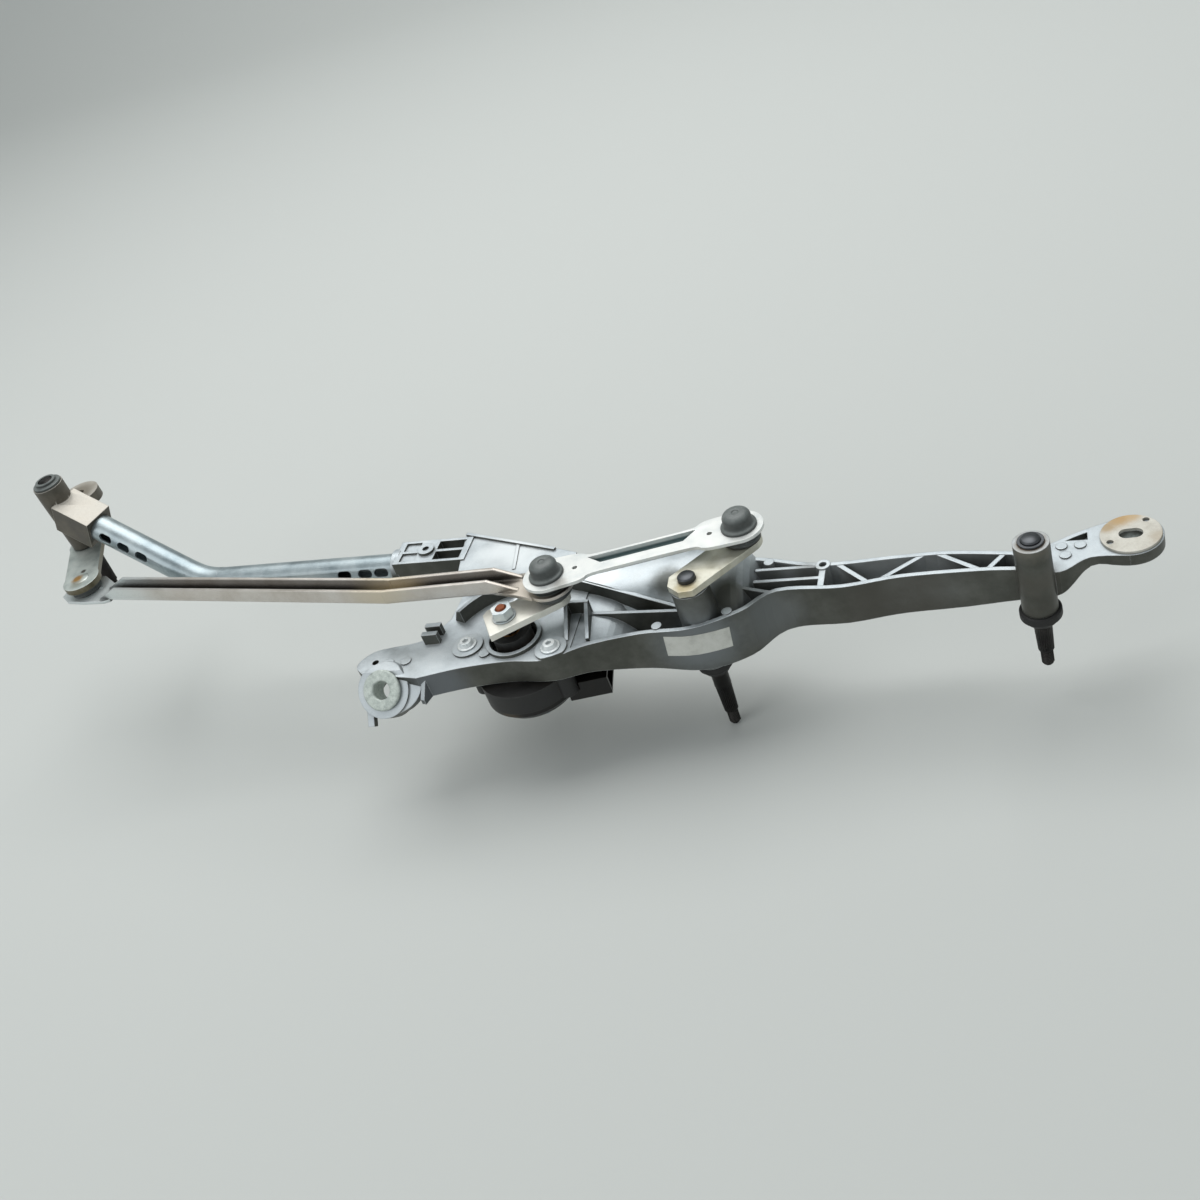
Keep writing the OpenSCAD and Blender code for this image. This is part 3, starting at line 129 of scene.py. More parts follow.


# A look has its sizes in mm. Tones and the painted shade of upright faces are colour stops; edge is
# (colour, strength), grime with painted shade in corners is (colour, reach, strength) and painted shade
# in a groove is (top, floor, colour, strength, reach). The grain is drawn coarser than the real one of
# 0.1 to 0.3 mm, so that it shows.
def makeFinish(name, look):
    material = bpy.data.materials.new(name)
    material.use_nodes = True
    tree = material.node_tree
    shader = tree.nodes["Principled BSDF"]
    shader.inputs["Metallic"].default_value = look["metallic"]
    if "ior" in look:
        shader.inputs["IOR"].default_value = look["ior"]
    place = addNode(tree, "TexCoord").outputs["Object"]
    normal = addNode(tree, "NewGeometry").outputs["Normal"]
    patches = addNode(tree, "TexNoise", {"Scale": 1 / (look["patchMm"] * mm), "Detail": 6, "Roughness": 0.62},
                      {"Vector": place}).outputs[0]
    grain = addNode(tree, "TexNoise", {"Scale": 1 / (look["grainMm"] * mm), "Detail": 3},
                    {"Vector": place}).outputs[0]
    noiseSpan = {"From Min": wearAndShade["noiseLow"], "From Max": wearAndShade["noiseHigh"]}
    colour = addNode(tree, "ValToRGB", {"stops": look["tones"]}, {"Fac": patches}).outputs[0]
    speckle = addNode(tree, "MapRange", {**noiseSpan, "To Min": 1 - look["speckle"], "To Max": 1},
                      {"Value": grain}).outputs[0]
    colour = addNode(tree, "Mix", {"data_type": "RGBA", "blend_type": "MULTIPLY", 0: 1.0},
                     {6: colour, 7: speckle}).outputs[2]
    colour = addStainsAndLight(tree, colour, place, look.get("topSpots", []))
    rounded = addNode(tree, "Bevel", {"samples": 6, "Radius": look["roundMm"] * mm}).outputs[0]
    if "walls" in look:  # upright faces get darker colour stops: painted shade on the sides
        facing = addNode(tree, "SeparateXYZ", {}, {0: normal}).outputs["Z"]
        steep = addNode(tree, "MapRange", {"From Min": wearAndShade["topTilt"], "From Max": wearAndShade["wallTilt"]},
                        {"Value": facing}).outputs[0]
        shadedWall = addNode(tree, "ValToRGB", {"stops": look["walls"]}, {"Fac": patches}).outputs[0]
        shadedWall = addStainsAndLight(tree, shadedWall, place, look.get("wallSpots", []))
        colour = addNode(tree, "Mix", {"data_type": "RGBA"}, {0: steep, 6: colour, 7: shadedWall}).outputs[2]
    if "edge" in look:  # corners rubbed bright
        hexColour, strength = look["edge"]
        turn = addNode(tree, "VectorMath", {"operation": "DOT_PRODUCT"},
                       {0: rounded, 1: normal}).outputs["Value"]
        rubbed = addNode(tree, "MapRange", {"From Min": wearAndShade["cornerStart"], "From Max": wearAndShade["cornerFull"],
                                            "To Max": strength}, {"Value": turn}).outputs[0]
        broken = addNode(tree, "Math", {"operation": "MULTIPLY"}, {0: rubbed, 1: grain}).outputs[0]
        colour = addNode(tree, "Mix", {"data_type": "RGBA", 7: linear(hexColour)},
                         {0: broken, 6: colour}).outputs[2]
    if "dirt" in look:  # grime and painted shade in the corners, by ambient occlusion
        hexColour, reach, strength = look["dirt"]
        shade = addNode(tree, "AmbientOcclusion", {"samples": 8, "Distance": reach * mm}).outputs["AO"]
        corner = addNode(tree, "MapRange", {"From Min": wearAndShade["dirtStart"], "From Max": wearAndShade["dirtFull"],
                                            "To Max": strength}, {"Value": shade}).outputs[0]
        smear = addNode(tree, "MapRange", {"From Min": wearAndShade["smearStart"], "From Max": wearAndShade["smearFull"],
                                           "To Min": wearAndShade["smearLeast"]}, {"Value": patches}).outputs[0]
        held = addNode(tree, "Math", {"operation": "MULTIPLY"}, {0: corner, 1: smear}).outputs[0]
        colour = addNode(tree, "Mix", {"data_type": "RGBA", 7: linear(hexColour)},
                         {0: held, 6: colour}).outputs[2]
    if "hollow" in look:  # painted shade on the floor of a groove, told by its height and by the sides around it
        topZ, floorZ, hexColour, strength, reach = look["hollow"]
        height = addNode(tree, "SeparateXYZ", {}, {0: place}).outputs["Z"]
        deep = addNode(tree, "MapRange", {"From Min": topZ * mm, "From Max": floorZ * mm, "To Max": strength},
                       {"Value": height}).outputs[0]
        openness = addNode(tree, "AmbientOcclusion", {"samples": 8, "Distance": reach * mm}).outputs["AO"]
        walled = addNode(tree, "MapRange", {"From Min": wearAndShade["grooveStart"], "From Max": wearAndShade["grooveFull"]},
                         {"Value": openness}).outputs[0]
        sunk = addNode(tree, "Math", {"operation": "MULTIPLY"}, {0: deep, 1: walled}).outputs[0]
        colour = addNode(tree, "Mix", {"data_type": "RGBA", 7: linear(hexColour)},
                         {0: sunk, 6: colour}).outputs[2]
    colour = addStainsAndLight(tree, colour, place, look.get("spots", []))
    tree.links.new(colour, shader.inputs["Base Color"])
    smoothest, roughest = look["roughness"]
    rough = addNode(tree, "MapRange", {**noiseSpan, "To Min": smoothest, "To Max": roughest},
                    {"Value": patches}).outputs[0]
    tree.links.new(rough, shader.inputs["Roughness"])
    grainHeight = look["grainMm"] * wearAndShade["bumpShare"] * mm
    bump = addNode(tree, "Bump", {"Strength": look["bump"], "Distance": grainHeight},
                   {"Height": grain, "Normal": rounded}).outputs[0]
    tree.links.new(bump, shader.inputs["Normal"])
    return material


finishes = {}  # by node name, or by material slot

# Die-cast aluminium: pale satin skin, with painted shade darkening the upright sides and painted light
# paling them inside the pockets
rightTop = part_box("right_ring")[0][2] / mm
# painted light that pales the shaded faces inside the truss pockets
pocketLightSpots = [((x, 78, 78), 68, "#c3c8c9", 2.2) for x in (60, 95, 130, 165, 195)]
finishes["cast_aluminium"] = makeFinish("dieCastAluminium", {
    "metallic": 0.5, "roughness": (0.34, 0.52), "patchMm": 22, "grainMm": 0.9, "speckle": 0.1, "bump": 0.3,
    "roundMm": 0.9, "tones": [(0.28, "#adb5b9"), (0.5, "#c7cfd3"), (0.75, "#d9dfe1")],
    "walls": [(0.3, "#40413b"), (0.5, "#50514b"), (0.75, "#656660")],
    # spots that make the painted shade on upright faces paler or darker in places
    "wallSpots": [((-185, -38, 80), 34, "#70757a", 0.8), ((0, -14, 76), 44, "#80868a", 0.7),
                  ((48, 4, 70), 30, "#75797a", 0.7), ((128, 14, 76), 60, "#504e48", 0.8)] + pocketLightSpots,
    "edge": ("#e4e8e9", 1.0), "dirt": ("#3a3934", 6, 0.55),
    # painted highlights on two of the casting's tops
    "topSpots": [((-150, 76, 104), 46, "#e3e8e9", 0.9), ((-75, 46, 101), 30, "#dfe4e5", 0.8)],
    "spots": [((-24, 26, 97), 20, "#53554f", 0.9), ((18, 15, 89), 24, "#60625c", 1.0),
              ((0, 0, 100), 17, "#524f47", 1.1), ((0, 0, 88), 17, "#4c4a43", 1.0),
              ((rightX, rightY, rightTop), 16, "#857d72", 1.2), ((rightX, rightY, 90), 20, "#56534c", 1.0),
              ((rightX, rightY, 70), 18, "#524f49", 1.0), ((40, 8, 84), 20, "#6a6e6e", 0.8),
              ((70, 32, 84), 16, "#5d584d", 0.6), ((-160, 60, 92), 20, "#8f969b", 0.5),
              # the last spot is painted light on the sides of the right disc's slot
              ((lugX, slotY, lugZ - 9), 9, "#b5bcbc", 1.6)],
})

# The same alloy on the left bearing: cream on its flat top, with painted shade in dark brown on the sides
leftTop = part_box("left_ring")[0][2] / mm
finishes["left_housing"] = makeFinish("filmedCastAluminium", {
    "metallic": 0.4, "roughness": (0.38, 0.56), "patchMm": 16, "grainMm": 0.9, "speckle": 0.12, "bump": 0.3,
    "roundMm": 0.9, "tones": [(0.28, "#b3ada2"), (0.5, "#c3beb4"), (0.75, "#cfcbc2")],
    "walls": [(0.3, "#47433c"), (0.5, "#5a554c"), (0.75, "#716b60")],
    "edge": ("#dedad2", 0.9), "dirt": ("#35312a", 6, 0.7),
    "spots": [((earX, earY, earZ + 3), 22, "#8a8377", 1.1), ((leftX, leftY, leftTop), 15, "#5d5f5b", 1.2)],
})

# Black e-coat on a casting: dull and slightly pitted
finishes["black_cast"] = makeFinish("blackCoatedCasting", {
    "metallic": 0.0, "ior": 1.5, "roughness": (0.45, 0.65), "patchMm": 18, "grainMm": 0.8, "speckle": 0.25,
    "bump": 0.4, "roundMm": 0.6, "tones": [(0.3, "#141414"), (0.5, "#1f1f1e"), (0.75, "#2c2b29")],
    "edge": ("#5c5a55", 0.6), "dirt": ("#4b4238", 6, 0.4),
})

# Bright zinc plating on sheet steel: pale, faintly blue, with a soft bloom
finishes["zinc_steel"] = makeFinish("brightZincPlate", {
    "metallic": 0.7, "roughness": (0.28, 0.44), "patchMm": 14, "grainMm": 0.5, "speckle": 0.06, "bump": 0.12,
    "roundMm": 0.4, "tones": [(0.3, "#b6c1c6"), (0.5, "#ccd4d6"), (0.72, "#dfe2df")],
    "edge": ("#eceeec", 0.7), "dirt": ("#4a4640", 4, 0.7),
})

# The same plating on the short rod: almost white, with painted shade and a painted blue-green reflection
# in the groove
finishes["short_rod"] = makeFinish("whiteZincPlate", {
    "metallic": 0.4, "roughness": (0.3, 0.46), "patchMm": 16, "grainMm": 0.5, "speckle": 0.07, "bump": 0.12,
    "roundMm": 0.4, "tones": [(0.3, "#d8dddc"), (0.5, "#e7e9e6"), (0.72, "#eff0ec")],
    "edge": ("#f0f0ec", 0.7), "dirt": ("#3f3d39", 4, 0.7), "hollow": (126.6, 125.4, "#64797a", 0.95, 7),
    "spots": [((-85, -3, 128), 9, "#8a857a", 0.5)],
})

# Zinc with a thin chromate on the crank arm: warm white
finishes["crank_arm"] = makeFinish("warmZincPlate", {
    "metallic": 0.45, "roughness": (0.3, 0.45), "patchMm": 12, "grainMm": 0.5, "speckle": 0.06, "bump": 0.12,
    "roundMm": 0.4, "tones": [(0.3, "#deddd2"), (0.5, "#eae8de"), (0.72, "#f0efe8")],
    "edge": ("#f0efe8", 0.7), "dirt": ("#39362f", 5, 0.85),
})

# Bright zinc on the motor screws, whiter than the sheet pieces
finishes["motor_screws"] = makeFinish("brightScrewZinc", {
    "metallic": 0.35, "roughness": (0.26, 0.4), "patchMm": 5, "grainMm": 0.4, "speckle": 0.06, "bump": 0.1,
    "roundMm": 0.6, "tones": [(0.3, "#dbe2e3"), (0.5, "#e9eeee"), (0.72, "#f1f4f3")],
    "dirt": ("#4c5254", 2.5, 0.8),
})

# Hot-dip zinc on the carrier tube: blue grey and a little dull
finishes["carrier_tube"] = makeFinish("dullZincTube", {
    "metallic": 0.75, "roughness": (0.3, 0.44), "patchMm": 20, "grainMm": 0.6, "speckle": 0.1, "bump": 0.15,
    "roundMm": 0.4, "tones": [(0.3, "#8a979c"), (0.5, "#a5b1b5"), (0.72, "#bec8ca")],
    "edge": ("#d6dcde", 0.7), "dirt": ("#33363a", 5, 0.8),
})

# Rough pale zinc on the eye's sleeve, mottled by its bolt
finishes["eye_sleeve"] = makeFinish("mottledZincPlate", {
    "metallic": 0.5, "roughness": (0.45, 0.62), "patchMm": 4, "grainMm": 0.6, "speckle": 0.2, "bump": 0.3,
    "roundMm": 1.8, "tones": [(0.32, "#a3aca7"), (0.5, "#c6cfc8"), (0.7, "#dee5df")],
    "edge": ("#dfe3df", 0.7), "dirt": ("#45433c", 4, 0.6),
})

# Yellow passivated zinc on the centre lever: cream metal, browner round the spindle
finishes["yellow_zinc"] = makeFinish("yellowZincPlate", {
    "metallic": 0.6, "roughness": (0.3, 0.46), "patchMm": 12, "grainMm": 0.5, "speckle": 0.08, "bump": 0.12,
    "roundMm": 0.4, "tones": [(0.3, "#bdb9a6"), (0.5, "#d3d1c2"), (0.72, "#dfded3")],
    "edge": ("#e9e8df", 0.8), "dirt": ("#4d4534", 4, 0.8),
    "spots": [((0, -8, 118), 11, "#a39264", 0.7), ((0, 0, 119), 11, "#5e5440", 0.7)],
})

# Plain zinc on the left lever, stained by the rust of its rivet, with painted shade in brown on its upright
# faces
finishes["left_lever"] = makeFinish("stainedZincPlate", {
    "metallic": 0.6, "roughness": (0.32, 0.48), "patchMm": 11, "grainMm": 0.5, "speckle": 0.1, "bump": 0.15,
    "roundMm": 0.4, "tones": [(0.3, "#bac3bf"), (0.5, "#ced6d1"), (0.72, "#dce1dc")],
    "walls": [(0.3, "#59533f"), (0.5, "#6f6856"), (0.75, "#8b8676")], "dirt": ("#47423a", 4, 0.8),
    "spots": [((-526, 62, 132), 9, "#8b8876", 0.6), ((-529, 68, 132), 7, "#b58a4e", 1.1),
              ((-529, 78, 132), 3.5, "#55514a", 1.2)],
})
finishes["left_stud"] = finishes["left_lever"]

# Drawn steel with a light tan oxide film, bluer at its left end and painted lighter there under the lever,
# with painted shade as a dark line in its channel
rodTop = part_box("long_rod")[1][2] / mm
finishes["tinted_steel"] = makeFinish("tannedDrawnSteel", {
    "metallic": 0.65, "roughness": (0.28, 0.44), "patchMm": 34, "grainMm": 0.5, "speckle": 0.06, "bump": 0.1,
    "roundMm": 1.4, "tones": [(0.3, "#c2b9ae"), (0.5, "#d3ccc4"), (0.72, "#e0dcd6")],
    "edge": ("#e6e3de", 0.7), "hollow": (rodTop - 1.0, rodTop - 2.2, "#2f2c28", 0.97, 8),
    "topSpots": [((-526, 62, 121), 120, "#dbe2e2", 1.0)],
    "spots": [((-526, 62, 121), 40, "#dbe2e2", 1.0), ((-112, 2, 121), 30, "#c3baad", 0.8),
              ((-225, 18, 128), 40, "#d6c8ab", 0.6)],
})

# Plated steel disc: pale grey, with rust along its back edge
finishes["rusted_plate"] = makeFinish("rustStainedPlate", {
    "metallic": 0.5, "roughness": (0.42, 0.6), "patchMm": 9, "grainMm": 0.6, "speckle": 0.12, "bump": 0.2,
    "roundMm": 0.4, "tones": [(0.3, "#b3afa4"), (0.5, "#cac7bd"), (0.72, "#d9d7ce")],
    "edge": ("#dedbd2", 0.6), "dirt": ("#5c4a36", 3, 0.7),
    "spots": [((266, 49, lugZ), 6, "#b4793a", 1.0), ((264, 47, lugZ), 12, "#b0946a", 0.9),
              ((272, 49, lugZ), 9, "#b99f78", 0.8), ((257, 40, lugZ), 8, "#a58d69", 0.8),
              # the last spot is painted light on the sides of the slot
              ((286, 26, lugZ), 9, "#a3947c", 0.5), ((lugX, slotY, lugZ - 3), 6.5, "#bcc0bb", 1.2)],
})

# Blackened turned steel: near black, worn grey on its heads and where it is handled
headSpots = [((x, y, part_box(node)[1][2] / mm), 22, "#56585b", 1.4)
             for node, x, y in (("centre_spindle", 0, 0), ("right_spindle", rightX, rightY))]
finishes["dark_steel"] = makeFinish("blackenedSteel", {
    "metallic": 0.9, "roughness": (0.34, 0.5), "patchMm": 8, "grainMm": 0.5, "speckle": 0.15, "bump": 0.15,
    "roundMm": 0.4, "tones": [(0.3, "#201f1e"), (0.5, "#2d2b2a"), (0.75, "#454341")],
    "edge": ("#7d7b77", 0.7), "dirt": ("#16130f", 4, 0.6),
    "spots": [((crankX, crankY, 120), 9, "#7a4630", 2.0), ((0, 0, 34), 8, "#6a6660", 0.6),
              ((rightX, rightY, 49), 8, "#6a6660", 0.6)] + headSpots,
})

# Black paint on the deep-drawn can: dull, with rubbed corners
finishes["motor_steel"] = makeFinish("blackPaintedCan", {
    "metallic": 0.0, "ior": 1.5, "roughness": (0.38, 0.55), "patchMm": 20, "grainMm": 0.7, "speckle": 0.15,
    "bump": 0.15, "roundMm": 0.6, "tones": [(0.3, "#161616"), (0.5, "#232323"), (0.75, "#303030")],
    "edge": ("#77746e", 0.6), "dirt": ("#5d5346", 6, 0.4),
})

# Glass-filled nylon of the caps: charcoal, with a painted highlight greying the tops and painted shade
# on the sides, with a fine moulded grain
finishes["black_plastic"] = makeFinish("glassFilledNylon", {
    "metallic": 0.0, "ior": 1.53, "roughness": (0.36, 0.52), "patchMm": 7, "grainMm": 0.4, "speckle": 0.2,
    "bump": 0.2, "roundMm": 0.5, "tones": [(0.3, "#5a5f5e"), (0.5, "#6a706e"), (0.75, "#7b807e")],
    "walls": [(0.3, "#373a39"), (0.5, "#434746"), (0.75, "#525654")],
    "edge": ("#6a6c69", 0.5), "dirt": ("#24231f", 3, 0.6),
})

# The same nylon on the gear cover, blacker, with road dust along its left edge
finishes["gear_cover"] = makeFinish("dustyBlackNylon", {
    "metallic": 0.0, "ior": 1.4, "roughness": (0.3, 0.5), "patchMm": 12, "grainMm": 0.5, "speckle": 0.2,
    "bump": 0.2, "roundMm": 0.6, "tones": [(0.3, "#0b0b0a"), (0.5, "#12110f"), (0.75, "#1d1b17")],
    "edge": ("#5a5341", 0.6), "dirt": ("#2e281e", 4, 0.3),
    "spots": [((-163, -22, 52), 12, "#6a573e", 1.0), ((-140, -44, 47), 12, "#4a4134", 0.7)],
})

# Moulded rubber, matt with a dusty bloom
finishes["seal_rubber"] = makeFinish("sealRubber", {
    "metallic": 0.0, "ior": 1.52, "roughness": (0.55, 0.75), "patchMm": 5, "grainMm": 0.5, "speckle": 0.2,
    "bump": 0.2, "roundMm": 0.6, "tones": [(0.3, "#111111"), (0.5, "#191918"), (0.75, "#262523")],
})

# Sintered bronze: brown gold and porous
finishes["bearing_bronze"] = makeFinish("sinteredBronze", {
    "metallic": 1.0, "roughness": (0.4, 0.55), "patchMm": 5, "grainMm": 0.4, "speckle": 0.25, "bump": 0.3,
    "roundMm": 0.3, "tones": [(0.3, "#8a5f36"), (0.5, "#a87a48"), (0.75, "#bd9159")],
})

# Tinned brass pins: pale gold
finishes["pin_brass"] = makeFinish("tinnedBrass", {
    "metallic": 1.0, "roughness": (0.25, 0.4), "patchMm": 4, "grainMm": 0.3, "speckle": 0.1, "bump": 0.1,
    "roundMm": 0.1, "tones": [(0.3, "#b89a58"), (0.5, "#c9b27a"), (0.75, "#d8cba6")],
})

# Ferrite magnet, dark and dull
finishes["magnet"] = makeFinish("ferrite", {
    "metallic": 0.2, "roughness": (0.55, 0.7), "patchMm": 6, "grainMm": 0.4, "speckle": 0.2, "bump": 0.2,
    "roundMm": 0.4, "tones": [(0.3, "#26282a"), (0.5, "#303234"), (0.75, "#3d3f41")],
})

# Natural nylon of the worm wheel: cream, with a low gloss
finishes["gear_nylon"] = makeFinish("naturalNylon", {
    "metallic": 0.0, "ior": 1.53, "roughness": (0.35, 0.5), "patchMm": 9, "grainMm": 0.5, "speckle": 0.06,
    "bump": 0.1, "roundMm": 0.3, "tones": [(0.3, "#d9d0b4"), (0.5, "#e4ddc8"), (0.75, "#ece7d8")],
})

# Ground steel of the armature shaft: clean and even
finishes["armature_steel"] = makeFinish("groundSteel", {
    "metallic": 1.0, "roughness": (0.2, 0.32), "patchMm": 6, "grainMm": 0.3, "speckle": 0.05, "bump": 0.08,
    "roundMm": 0.2, "tones": [(0.3, "#9c9c9c"), (0.5, "#b2b2b2"), (0.75, "#c6c6c6")],
})

# Lacquered copper over a laminated core: deep red brown
finishes["winding"] = makeFinish("lacqueredCopper", {
    "metallic": 1.0, "roughness": (0.3, 0.45), "patchMm": 4, "grainMm": 0.5, "speckle": 0.3, "bump": 0.3,
    "roundMm": 0.2, "tones": [(0.3, "#6a3218"), (0.5, "#8a4a26"), (0.75, "#a9673b")],
})

# Coated label stock, rubbed and a little grey
finishes["label"] = makeFinish("labelStock", {
    "metallic": 0.0, "ior": 1.48, "roughness": (0.35, 0.55), "patchMm": 10, "grainMm": 0.5, "speckle": 0.08,
    "bump": 0.05, "roundMm": 0.1, "tones": [(0.3, "#b9bab3"), (0.5, "#cfd0c9"), (0.75, "#dadbd5")],
    "dirt": ("#8b8a80", 3, 0.4),
})
print("finishes made:", len(finishes))


def finishOf(node):  # a node's own finish, or the one of its slot
    return finishes.get(node, finishes[slotOf[node]])


for node, piece in frame["nodes"].items():
    piece.data.materials.clear()
    piece.data.materials.append(finishOf(node))


def addObject(name, data):
    thing = bpy.data.objects.new(name, data)
    bpy.context.scene.collection.objects.link(thing)
    return thing


def finishPiece(name, mesh, material, body, replaced=()):
    piece = addObject(name, mesh)
    mesh.materials.clear()
    mesh.materials.append(material)
    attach(piece, body)
    if replaced:
        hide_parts(*replaced)
    return piece


def standFor(node, name, mesh):  # a piece that takes a node's place, body, slot and finish
    return finishPiece(name, mesh, finishOf(node), bodyOf[node], [node])


sharpAngle = 32  # degrees between faces past which an edge stays sharp
doubledMm = 0.002  # points of a node this close are one
seamMm = 0.0005  # the same on a turned piece
onPlaneM = 1e-7  # points this close lie on a cutting plane


def shadedMesh(bm, name, sharpDeg=sharpAngle):  # smooth faces, split at sharp edges
    for face in bm.faces:
        face.smooth = True
    mesh = bpy.data.meshes.new(name)
    bm.to_mesh(mesh)
    bm.free()
    mesh.set_sharp_from_angle(angle=math.radians(sharpDeg))
    return mesh


def mergedCopy(node):  # a node's mesh with its doubled points merged
    bm = bmesh.new()
    bm.from_mesh(frame["nodes"][node].data)
    bmesh.ops.remove_doubles(bm, verts=bm.verts, dist=doubledMm * mm)
    return bm


def middleOf(node):  # middle of a node's box, in mm
    low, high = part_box(node)
    return (Vector(low) + Vector(high)) / (2 * mm)


def drawProfile(bm, profile, centre):  # (radius, height) pairs in mm, drawn beside an upright axis
    x, y, z = centre
    points = [bm.verts.new(((x + r) * mm, y * mm, (z + h) * mm)) for r, h in profile]
    lines = [bm.edges.new(pair) for pair in zip(points, points[1:])]
    return points + lines


def turned(bm, profile, centre, steps=56):  # a profile turned about its axis
    x, y = centre[:2]
    bmesh.ops.spin(bm, geom=drawProfile(bm, profile, centre), cent=(x * mm, y * mm, 0), axis=upZ,
                   angle=2 * math.pi, steps=steps, use_merge=True)
    bmesh.ops.remove_doubles(bm, verts=bm.verts, dist=seamMm * mm)


def cutAway(bm, **plane):  # drops what lies on one side of a plane
    bmesh.ops.bisect_plane(bm, geom=bm.verts[:] + bm.edges[:] + bm.faces[:], dist=onPlaneM, **plane)


def shiftGrown(bm, grown, offset):  # moves the points that an extrusion made
    points = [v for v in grown["geom"] if isinstance(v, bmesh.types.BMVert)]
    bmesh.ops.translate(bm, vec=offset, verts=points)


# Pressed, turned and moulded pieces with their edges broken, in mm
softEdges = {
    "crank_arm": 0.6, "short_rod": 0.45, "long_rod": 0.4, "centre_lever": 0.6, "left_lever": 0.6,
    "left_housing": 0.35, "gear_cover": 0.8, "motor_screws": 0.3, "crank_nut": 0.7, "crank_washer": 0.25,
    "eye_sleeve": 1.0, "right_slot_plate": 0.35, "spindle_seals": 0.4, "right_ring": 0.3,
    "crank_socket": 0.4, "centre_socket": 0.4, "left_socket": 0.4, "long_rod_bush": 0.4,
    "motor_can": 0.8, "cover_screws": 0.3, "carrier_tube": 0.3, "left_stud": 0.15,
}
flatDeg = 0.5  # faces closer than this to flat become one
for node, widthMm in softEdges.items():
    bm = mergedCopy(node)
    bmesh.ops.dissolve_limit(bm, angle_limit=math.radians(flatDeg), verts=bm.verts, edges=bm.edges)
    piece = standFor(node, node + "Soft", shadedMesh(bm, node + "Soft"))
    bevel = piece.modifiers.new("brokenEdges", "BEVEL")
    bevel.width = widthMm * mm
    bevel.segments = 2
    bevel.limit_method = "ANGLE"
    bevel.angle_limit = math.radians(sharpAngle)
    bevel.harden_normals = True
print("edges softened:", len(softEdges))

# Domed caps of the ball joints, with the dimple left by the gate. The skirt is (inset from the flange,
# height), the neck (inset from the dome, height), the crown (inset from the dome, drop from the top) and
# the dimple (radius, drop); each cap's room inside is (radius, height)
capShape = {
    "flange": 12.2, "dome": 10.1, "sharpDeg": 40,
    "skirt": [(0, 0), (0, 1.3), (0.3, 1.8), (0.9, 2.1)],
    "neck": [(-0.5, 2.3), (-0.1, 2.8), (0.2, 3.8)],
    "crown": [(0.4, 4.2), (0.7, 3), (1.4, 1.9), (2.5, 1.0), (4, 0.5), (6, 0.2)],
    "dimple": [(2.6, 0.15), (2.2, 0.3), (1.9, 0.8), (0, 0.9)],
}
ballRoom = [(7.5, 0), (7.4, 1), (6.7, 2), (5.5, 3.5), (3.6, 4.9), (0, 5.8)]
openRoom = [(8.1, 0), (8.1, 8), (0, 8)]
lowRoom = [(7.8, 0), (7.4, 2), (6.3, 4.1), (4.4, 5.9), (2.3, 7), (0, 7.3)]
caps = {
    "crank_cap": {"rise": 12.0, "room": ballRoom, "up": 1},
    "centre_cap": {"rise": 12.0, "room": openRoom, "up": 1},
    "left_cap": {"rise": 8.5, "room": lowRoom, "up": -1},
}
for node, cap in caps.items():
    low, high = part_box(node)
    middle = middleOf(node)
    seatZ = (low[2] if cap["up"] > 0 else high[2]) / mm
    skin = [(capShape["flange"] - inset, h) for inset, h in capShape["skirt"]]
    skin += [(capShape["dome"] - inset, h) for inset, h in capShape["neck"]]
    skin += [(capShape["dome"] - inset, cap["rise"] - drop) for inset, drop in capShape["crown"]]
    skin += [(r, cap["rise"] - drop) for r, drop in capShape["dimple"]]
    profile = [(r, cap["up"] * h) for r, h in cap["room"][::-1] + skin]
    bm = bmesh.new()
    turned(bm, profile, (middle.x, middle.y, seatZ))
    bmesh.ops.recalc_face_normals(bm, faces=bm.faces)
    standFor(node, node + "Domed", shadedMesh(bm, node + "Domed", capShape["sharpDeg"]))
print("caps turned:", len(caps))

# Stepped collar under the left spindle's head, as (radius, height) in mm
collar = {
    "bore": 6.2,
    "steps": [(11.6, 0), (11.6, 1.5), (11.2, 1.9), (9.0, 2.1), (8.7, 2.4), (8.6, 4.0), (8.2, 4.4)],
}
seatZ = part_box("left_ring")[0][2] / mm
middle = middleOf("left_ring")
boreFoot = (collar["bore"], 0)
boreTop = (collar["bore"], collar["steps"][-1][1])
bm = bmesh.new()
turned(bm, [boreFoot] + collar["steps"] + [boreTop, boreFoot], (middle.x, middle.y, seatZ))
bmesh.ops.recalc_face_normals(bm, faces=bm.faces)
finishPiece("leftCollar", shadedMesh(bm, "leftCollar"), finishes["black_plastic"], bodyOf["left_ring"],
            ["left_ring"])
print("collar turned")

# Spindles with a cut thread on their arm studs, in mm
thread = {
    "core": 3.45, "crest": 4.0, "length": 12.0, "pitch": 1.25, "turns": 8.5, "stepsPerTurn": 24,
    "rootHalf": 0.56, "crestHalf": 0.08, "sink": 0.1, "start": 0.4,  # the ridge's section and its first turn
    "lip": [(0.3, 0.1), (0.1, -0.5)], "relief": 0.9,  # under the taper: (past the crest, height)
    "tip": (0.9, 1.1), "point": 1.2,  # chamfered end: inset from the core, and reach past the length
    "overlap": 0.02, "sharpDeg": 28,
}
studs = {
    "centre_spindle": "centre_arm_seat", "right_spindle": "right_arm_seat", "left_spindle": "left_arm_seat",
}
core, crest, end = thread["core"], thread["crest"], -thread["length"]
shank = [(crest + past, h) for past, h in thread["lip"]] + [(core, -thread["relief"]), (core, end)]
shank += [(core - thread["tip"][0], end - thread["tip"][1]), (0, end - thread["point"])]
root, rootHalf, crestHalf = core - thread["sink"], thread["rootHalf"], thread["crestHalf"]
ridge = [(root, -rootHalf), (crest, -crestHalf), (crest, crestHalf), (root, rootHalf)]
